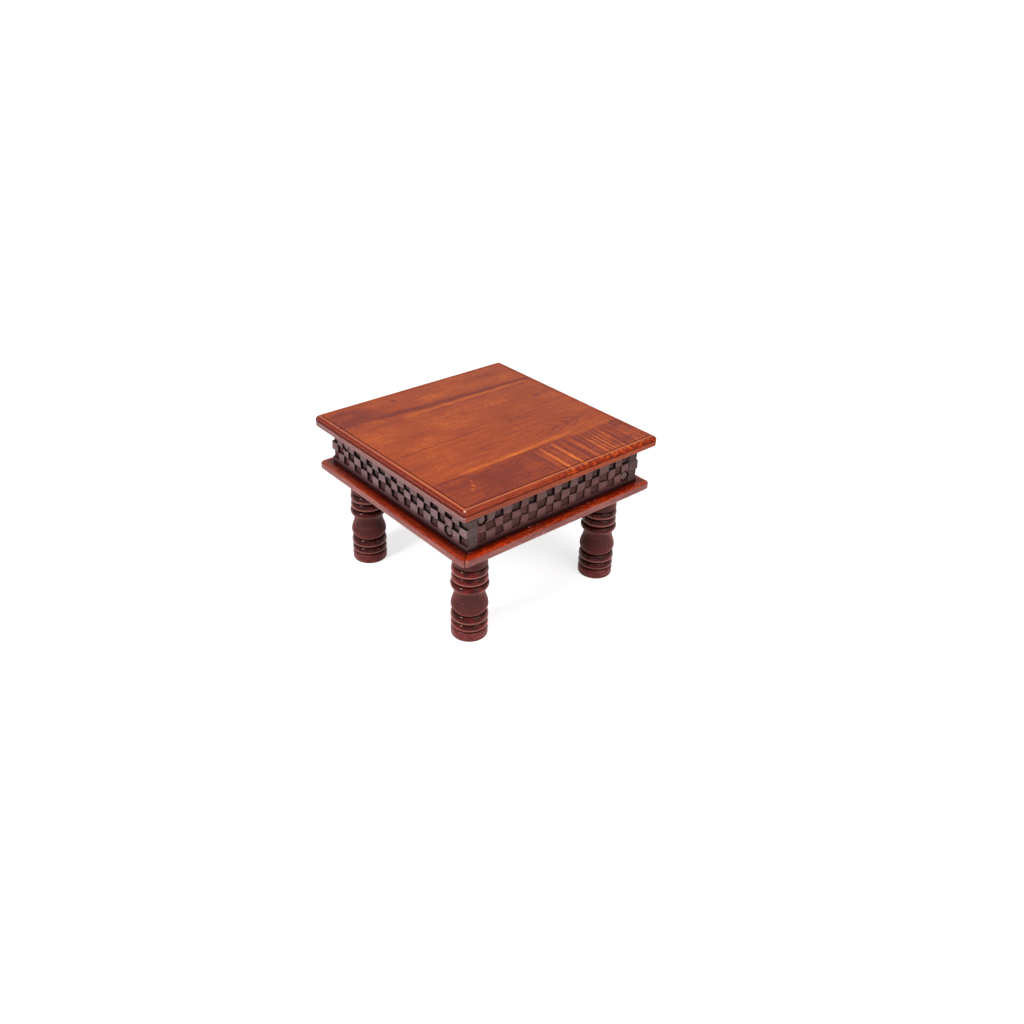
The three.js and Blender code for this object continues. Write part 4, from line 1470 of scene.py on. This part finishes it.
def light_panel(name, azimuth, elevation, width, height, power):
    """A softbox on a sphere round the table, facing its middle."""
    way = bearing(math.radians(azimuth), math.radians(elevation))
    lamp = bpy.data.lights.new(name, "AREA")
    lamp.shape = "RECTANGLE"
    lamp.size, lamp.size_y = width * MM, height * MM
    lamp.energy = power
    place = (way * PANEL_DISTANCE + Vector((0, 0, LEG_HEIGHT))) * MM
    turn = way.to_track_quat("Z", "Y").to_matrix().to_4x4()
    new_object(name, lamp).matrix_world = Matrix.Translation(place) @ turn


def seen_directly(nodes):
    """One for camera, glossy and transmission rays, nought for the rays that light the object."""
    rays = nodes.add("ShaderNodeLightPath").outputs
    seen = 0
    for kind in ("Camera", "Glossy", "Transmission"):
        seen = Value(nodes, rays[f"Is {kind} Ray"]).highest(seen)
    return seen


def make_floor():
    """A pale floor that keeps the shadow and glows white farther out."""
    mesh = bpy.data.meshes.new("floor")
    corners = [Vector((x * FLOOR_HALF, y * FLOOR_HALF, -FLOOR_DROP)) * MM for x, y in CORNER_SIGNS]
    mesh.from_pydata(corners, [], [(0, 1, 2, 3)])
    floor = new_object("floor", mesh)
    r = Recipe("pale_floor")
    glow = (r.x * r.x + r.y * r.y).root().ramp(*GLOW_REACH, *FLOOR_GLOW)
    sockets = {
        "Base Color": (0.6, 0.6, 0.6, 1),
        "Roughness": 0.9,
        "Specular IOR Level": 0,
        "Emission Color": (1, 1, 1, 1),
        "Emission Strength": seen_directly(r) * glow,
    }
    for socket, value in sockets.items():
        r.feed(r.surface.inputs[socket], value)
    mesh.materials.append(r.material)


def make_stage():
    """A white sweep: the floor, a white world behind it and soft panels."""
    make_floor()
    world = bpy.data.worlds.new("white_room")
    bpy.context.scene.world = world
    world.use_nodes = True
    nodes = Nodes(world.node_tree)
    backdrop = nodes.tree.nodes["Background"]
    backdrop.inputs["Color"].default_value = (1, 1, 1, 1)
    nodes.feed(backdrop.inputs["Strength"], seen_directly(nodes) * (1 - ROOM_LIGHT) + ROOM_LIGHT)
    for name, settings in PANELS.items():
        light_panel(name, *settings)


# Camera of the photograph
CAMERA_AZIMUTH = -41.87
CAMERA_ELEVATION = 30.72
CAMERA_ROLL = 2.1
CAMERA_DISTANCE = 1216.1
CAMERA_TARGET = (6, -50.6, 100)
CAMERA_LENS = 33.83


def make_camera():
    azimuth, elevation, roll = map(math.radians, (CAMERA_AZIMUTH, CAMERA_ELEVATION, CAMERA_ROLL))
    back = bearing(azimuth, elevation)
    right = Vector((math.cos(azimuth), math.sin(azimuth), 0))
    up = back.cross(right)
    across = right * math.cos(roll) + up * math.sin(roll)
    upright = up * math.cos(roll) - right * math.sin(roll)
    camera = new_object("photo_camera", bpy.data.cameras.new("photo_camera"))
    camera.data.lens = CAMERA_LENS
    camera.matrix_world = Matrix((across, upright, back)).transposed().to_4x4()
    camera.location = (Vector(CAMERA_TARGET) + back * CAMERA_DISTANCE) * MM
    bpy.context.scene.camera = camera


def main():
    steel = zinc_steel()
    bores = make_bores()
    make_top(top_wood(), bores)
    make_aprons(carved_wood(), bores)
    make_base(base_wood(), bores)
    bpy.data.objects.remove(bores)
    make_legs(leg_wood())
    make_plugs(plug_wood())
    make_blocks(block_wood())
    make_screws(steel)
    for node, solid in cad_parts.items():
        if node.startswith("leg_bolt"):
            solid.data.materials.clear()
            solid.data.materials.append(steel)
    make_stage()
    make_camera()
    bpy.context.scene.view_settings.view_transform = "Standard"


main()
